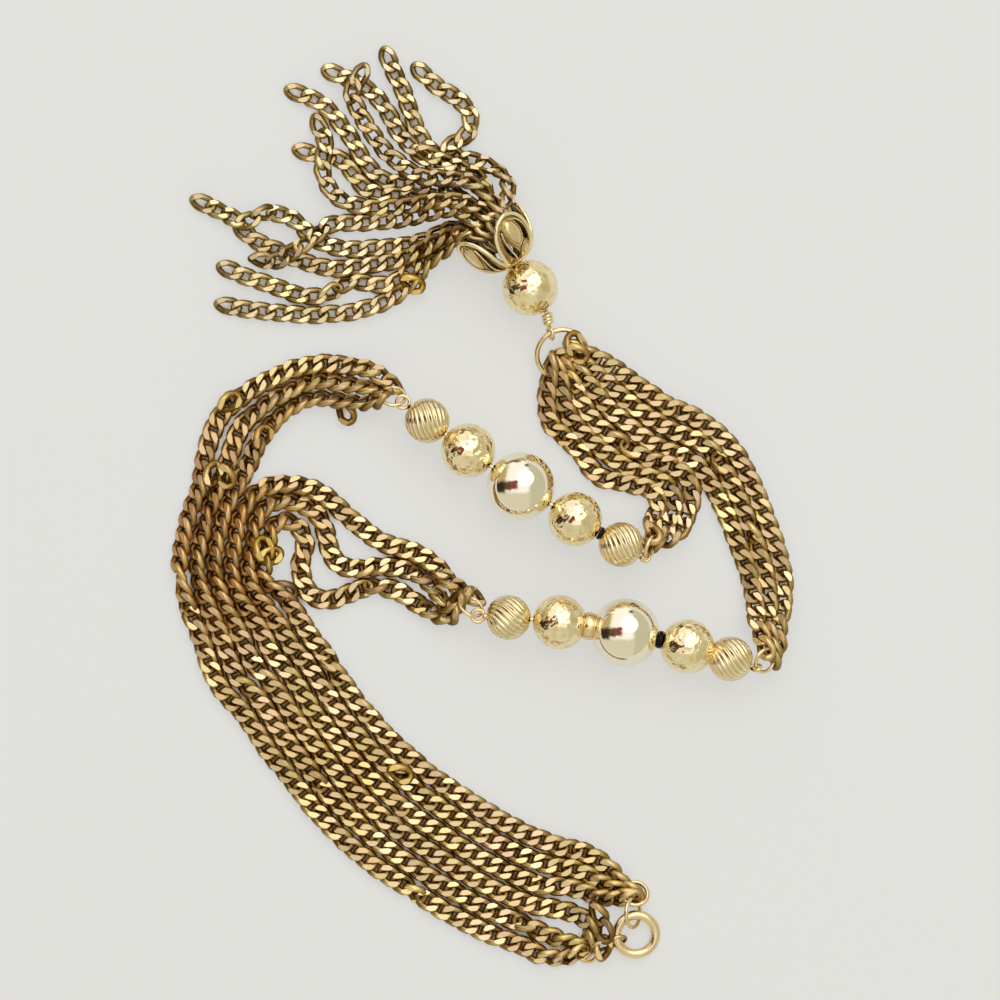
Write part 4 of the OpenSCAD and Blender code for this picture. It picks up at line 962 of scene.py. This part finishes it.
# outlines on an unrolled petal: place across it and place from the cap's tip to its mouth
PETAL_SIDE = [(1.3, 1.9), (2.7, 3.7), (3.6, 5.9), (3.8, 8.1), (3.2, 10.2), (2.0, 11.6), (0.5, 12.3)]
PETAL = smooth_loop([(0, 0.9)] + PETAL_SIDE + [(-x, y) for x, y in reversed(PETAL_SIDE)])
LOBES = [
    smooth_loop([
        (0.3, 6.4), (1.3, 7.6), (1.6, 9.2), (1.0, 10.8), (0, 11.5), (-1.0, 11.1), (-1.5, 9.8), (-1.2, 8.0),
        (-0.5, 6.8)]),
    smooth_loop([(0.6, 2.8), (1.6, 3.8), (2.3, 5.2), (2.1, 6.2), (1.3, 6.4), (0.5, 5.6), (0.2, 4.2)])]
WINDOWS = [
    smooth_loop([
        (-0.3, 2.3), (-1.4, 3.9), (-2.5, 5.8), (-2.9, 8.0), (-2.5, 10.0), (-1.8, 10.6), (-1.9, 8.8),
        (-1.5, 7.2), (-0.6, 5.8), (-0.1, 4.3)]),
    smooth_loop([(1.7, 6.9), (2.7, 6.6), (3.0, 8.0), (2.6, 9.9), (1.8, 10.9), (1.4, 10.8), (1.9, 9.2)])]
VEIN = np.array([(-2.1, 10.2), (-2.3, 9.0), (-2.2, 7.6), (-1.8, 6.2), (-1.2, 4.8), (-0.6, 3.4), (-0.1, 2.1)])
PETAL_STEP = 0.16
INNER_RIM = 0.82
RIM_R, LOBE_R, VEIN_R = 0.36, 0.1, 0.16


def bulge(uv, lobes):
    """How far points of a petal stand up inside its lobes."""
    height, shoulder = 0.4, 0.9
    out = np.zeros(len(uv))
    for lobe in lobes:
        within = inside(lobe, uv)
        near = np.linalg.norm(uv[within][:, None] - lobe[None], axis=2).min(1)
        out[within] = height * np.sin(np.clip(near / shoulder, 0, 1) * math.pi / 2)
    return out


def cut_sheet(outline, windows):
    """Points and faces of a flat grid that fills an outline but not its windows."""
    us = np.arange(-4.3, 4.31, PETAL_STEP)
    vs = np.arange(0.8, 13.3, PETAL_STEP)
    cu, cv = np.meshgrid((us[:-1] + us[1:]) / 2, (vs[:-1] + vs[1:]) / 2, indexing="ij")
    cell = np.stack([cu.ravel(), cv.ravel()], 1)
    keep = inside(outline, cell)
    for window in windows:
        keep &= ~inside(window, cell)
    index, pts, faces = {}, [], []
    for i, j in zip(*np.nonzero(keep.reshape(cu.shape))):
        quad = []
        for corner in ((i, j), (i + 1, j), (i + 1, j + 1), (i, j + 1)):
            if corner not in index:
                index[corner] = len(pts)
                pts.append((us[corner[0]], vs[corner[1]]))
            quad.append(index[corner])
        faces.append(tuple(quad))
    return np.array(pts), faces


def petal(k, side):
    """One petal: a thin curved sheet cut by two openings, a double rim and two raised inner lobes."""
    az = 90 * k + CAP_TURN
    flip = np.array([side, 1.0])
    outline, lobes = PETAL * flip, [q * flip for q in LOBES]
    pts, faces = cut_sheet(outline, [w * flip for w in WINDOWS])
    n = len(pts)
    rise = bulge(pts, lobes)
    edges = {(a, b) for f in faces for a, b in zip(f, f[1:] + f[:1])}
    walls = [(b, a, a + n, b + n) for a, b in sorted(edges) if (b, a) not in edges]
    shell = faces + [tuple(i + n for i in reversed(f)) for f in faces] + walls
    sheet = np.vstack([cap_points(pts, az, rise - 0.15), cap_points(pts, az, -CAP_WALL)])
    # painted shade: the sheet's underside nearly black and its flat part dark; raised lobes lighter as painted
    # light on their tops
    parts = [(sheet, shell, np.concatenate([0.3 + 1.2 * rise, np.full(n, 0.05)]))]
    # rims, lobe outlines and veins lighter: partly wear, partly painted highlight on raised edges
    for loop, lift, radius, wear_and_shade in [(outline, 0.05, RIM_R, 0.95)] + [(q, 0.0, LOBE_R, 0.7) for q in lobes]:
        parts.append((*tube_along(cap_points(loop, az, lift), radius, 8, True), wear_and_shade))
    middle = outline.mean(0)
    second = (outline - middle) * INNER_RIM + middle
    for line in (VEIN * flip, second[PETAL[:, 0] > 0]):
        parts.append((*tube_along(cap_points(line, az, 0.05), VEIN_R, 8), 0.8))
    return parts


parts = []
for k in range(4):
    parts += petal(k, 1 if k % 2 == 0 else -1)
tip = [(CAP_START + z, 0, 0) for z in np.linspace(0.1, 0.75, 4)]
parts.append((*tube_along(tip, [1.0, 1.25, 1.3, 1.2], 28), 0.6))
v, f, w = join_parts(parts)
make_piece("petal_cap_openwork", on_drop(v), f, CAP_METAL, ["petal_cap"], w, sharp=50)

# pin with its wound collar and loop
TAIL = aim(TAIL_AZ, TAIL_FALL)
TAIL_SIDE = unit(np.array([-TAIL[1], TAIL[0], 0]))
TAIL_UP = np.cross(TAIL, TAIL_SIDE)
COIL_TURNS, COIL_R, COIL_WIRE = 2.6, 0.68, 0.74
EYE_ROLL = 70


def on_tail(along, radius, a):
    """Point at a length along the pin's tail, so far from its line in direction a."""
    return TAIL_START + along * TAIL + radius * (cosd(a) * TAIL_SIDE + sind(a) * TAIL_UP)


pin = [(x, 0, 0) for x in np.linspace(-DROP_D / 2 - 0.1, CAP_START + 0.9, 24)]
tail = [on_tail(q, 0, 0) for q in np.linspace(-0.2, TAIL_LEN - EYE_D / 2 + 0.1, 12)]
coil = [on_tail(0.55 + COLLAR_LEN * 0.8 * q, COIL_R, 360 * COIL_TURNS * q) for q in np.linspace(0, 1, 90)]
across = cosd(EYE_ROLL) * TAIL_SIDE + sind(EYE_ROLL) * TAIL_UP
loop = [DROP_EYE + (EYE_D - EYE_WIRE) / 2 * (cosd(a) * TAIL + sind(a) * across) for a in np.arange(0, 360, 9)]
wires = [(on_drop(pin), PIN_D, 12, 0.7), (tail, PIN_D, 12, 0.7), (coil, COIL_WIRE, 10, 0.8),
         (loop, EYE_WIRE, 12, 0.75)]
parts = [(*tube_along(line, wire / 2, sides, line is loop), wear_and_shade) for line, wire, sides, wear_and_shade in wires]
v, f, w = join_parts(parts)
make_piece("drop_pin_wire", v, f, RING_METAL, ["drop_pin"], w)

# nodes that stay as they are
for name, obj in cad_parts.items():
    if not obj.hide_render:
        obj.data.materials.clear()
        obj.data.materials.append(DARK_METAL if "dark" in name else WIRE_METAL)

# floor, light and camera
bpy.ops.mesh.primitive_plane_add(size=6, location=(0, 0, -0.0001))
floor = bpy.context.object
floor.name = "floor"
material, tree, bsdf = new_material("table")
# painted shade: the table darkens to brown near what lies on it, a painted contact shadow tinted as painted
# bounce light from the gold, and it glows by itself, the glow dimmed there too
near = node(tree, "AmbientOcclusion", {"Distance": 0.0022}).outputs["AO"]
lit = node(tree, "MapRange", {0: near, 1: 0.0, 2: 0.5}, interpolation_type="SMOOTHSTEP").outputs[0]
FLOOR_SHADE_STOPS = [(0, (0.16, 0.09, 0.03)), (0.5, (0.25, 0.2, 0.13)), (1, (0.255, 0.256, 0.252))]
GLOW_STOPS = [(0, (0.1, 0.05, 0.01)), (0.35, (0.3, 0.2, 0.1)), (0.7, (0.75, 0.7, 0.6)), (1, (1, 1, 0.97))]
feed(tree, bsdf, {
    "Base Color": ramp(tree, FLOOR_SHADE_STOPS, lit), "Emission Color": ramp(tree, GLOW_STOPS, lit),
    "Emission Strength": 0.512, "Roughness": 0.75, "Specular IOR Level": 0.2})
floor.data.materials.append(material)

# window: direction, height, distance and size in degrees and metres
WINDOW_AZ, WINDOW_EL, WINDOW_FAR, WINDOW_SIZE = 62, 58, 1.4, 1.5
window = bpy.data.lights.new("window", "AREA")
window.shape = "DISK"
window.size = WINDOW_SIZE
window.energy = 5.4
window.color = (1.0, 0.99, 0.97)
lamp = new_object("window", window)
towards = Vector(aim(WINDOW_AZ, -WINDOW_EL))
lamp.location = towards * WINDOW_FAR
lamp.rotation_mode = "QUATERNION"
lamp.rotation_quaternion = towards.to_track_quat("Z", "Y")
lamp.visible_camera = False

# the room that the metal mirrors
world = bpy.data.worlds.new("room")
bpy.context.scene.world = world
world.use_nodes = True
ROOM = world.node_tree
ROOM_BEND = 0.14
outward = node(ROOM, "TexCoord", {}).outputs["Generated"]
ripple = node(ROOM, "TexNoise", {"Vector": outward, "Scale": 7, "Detail": 2}).outputs["Color"]
parted = node(ROOM, "SeparateXYZ", {0: outward}).outputs
uneven = node(ROOM, "SeparateColor", {0: ripple}).outputs


def room_axis(k):
    """One coordinate of the room seen from below: 0 straight up, 1 at the horizon, bent a little by noise."""
    above = math_node(ROOM, "MAXIMUM", math_node(ROOM, "ADD", parted[2], 1.0), 0.05)
    flat = math_node(ROOM, "DIVIDE", parted[k], above)
    bend = math_node(ROOM, "MULTIPLY", math_node(ROOM, "SUBTRACT", uneven[k], 0.5), ROOM_BEND)
    return math_node(ROOM, "ADD", flat, bend)


ROOM_X, ROOM_Y = room_axis(0), room_axis(1)


def between_edges(value, low, high, soft):
    masks = []
    for edge, first, last in ((low, 0.0, 1.0), (high, 1.0, 0.0)):
        span = {0: value, 1: edge - soft, 2: edge + soft, 3: first, 4: last}
        masks.append(node(ROOM, "MapRange", span, interpolation_type="SMOOTHSTEP").outputs[0])
    return math_node(ROOM, "MULTIPLY", *masks)


# rectangles of the room, laid over one another: edges across and along, softness, colour
ROOM_PATCHES = [
    ((0.3, 2), (-1, 2), 0.06, (0.6, 0.59, 0.47)), ((-0.62, 0.24), (-0.2, 1.3), 0.06, (1.1, 1.1, 1.1)),
    ((-1.2, -0.5), (0.1, 0.9), 0.1, (0.55, 0.42, 0.2)), ((0.15, 0.3), (0.7, 0.85), 0.05, (0.12, 0.1, 0.07)),
    ((-0.62, -0.3), (-0.15, 0.14), 0.05, (0.13, 0.08, 0.04)),
    ((-1.1, -0.55), (-0.25, 0.17), 0.07, (0.04, 0.028, 0.017)),
    ((-0.36, -0.1), (-0.1, 0.16), 0.03, (0.25, 0.07, 0.07))]
light = (0.72, 0.7, 0.6, 1)
for xs, ys, soft, colour in ROOM_PATCHES:
    mask = math_node(ROOM, "MULTIPLY", between_edges(ROOM_X, *xs, soft), between_edges(ROOM_Y, *ys, soft))
    light = node(ROOM, "Mix", {0: mask, 6: light, 7: (*colour, 1)}, data_type="RGBA").outputs[2]
feed(ROOM, ROOM.nodes["Background"], {0: light})

# camera, straight above the middle of the picture
LENS, SENSOR = 200, 36
PICTURE = 1000
RISE = 4
camera_data = bpy.data.cameras.new("camera")
camera_data.lens = LENS
camera_data.sensor_width = SENSOR
camera_data.clip_end = 10
camera = new_object("camera", camera_data)
camera.location = (*place(PICTURE / 2, PICTURE / 2) * MM, (PICTURE / PER_MM * LENS / SENSOR + RISE) * MM)
bpy.context.scene.camera = camera
bpy.context.scene.view_settings.view_transform = "Standard"
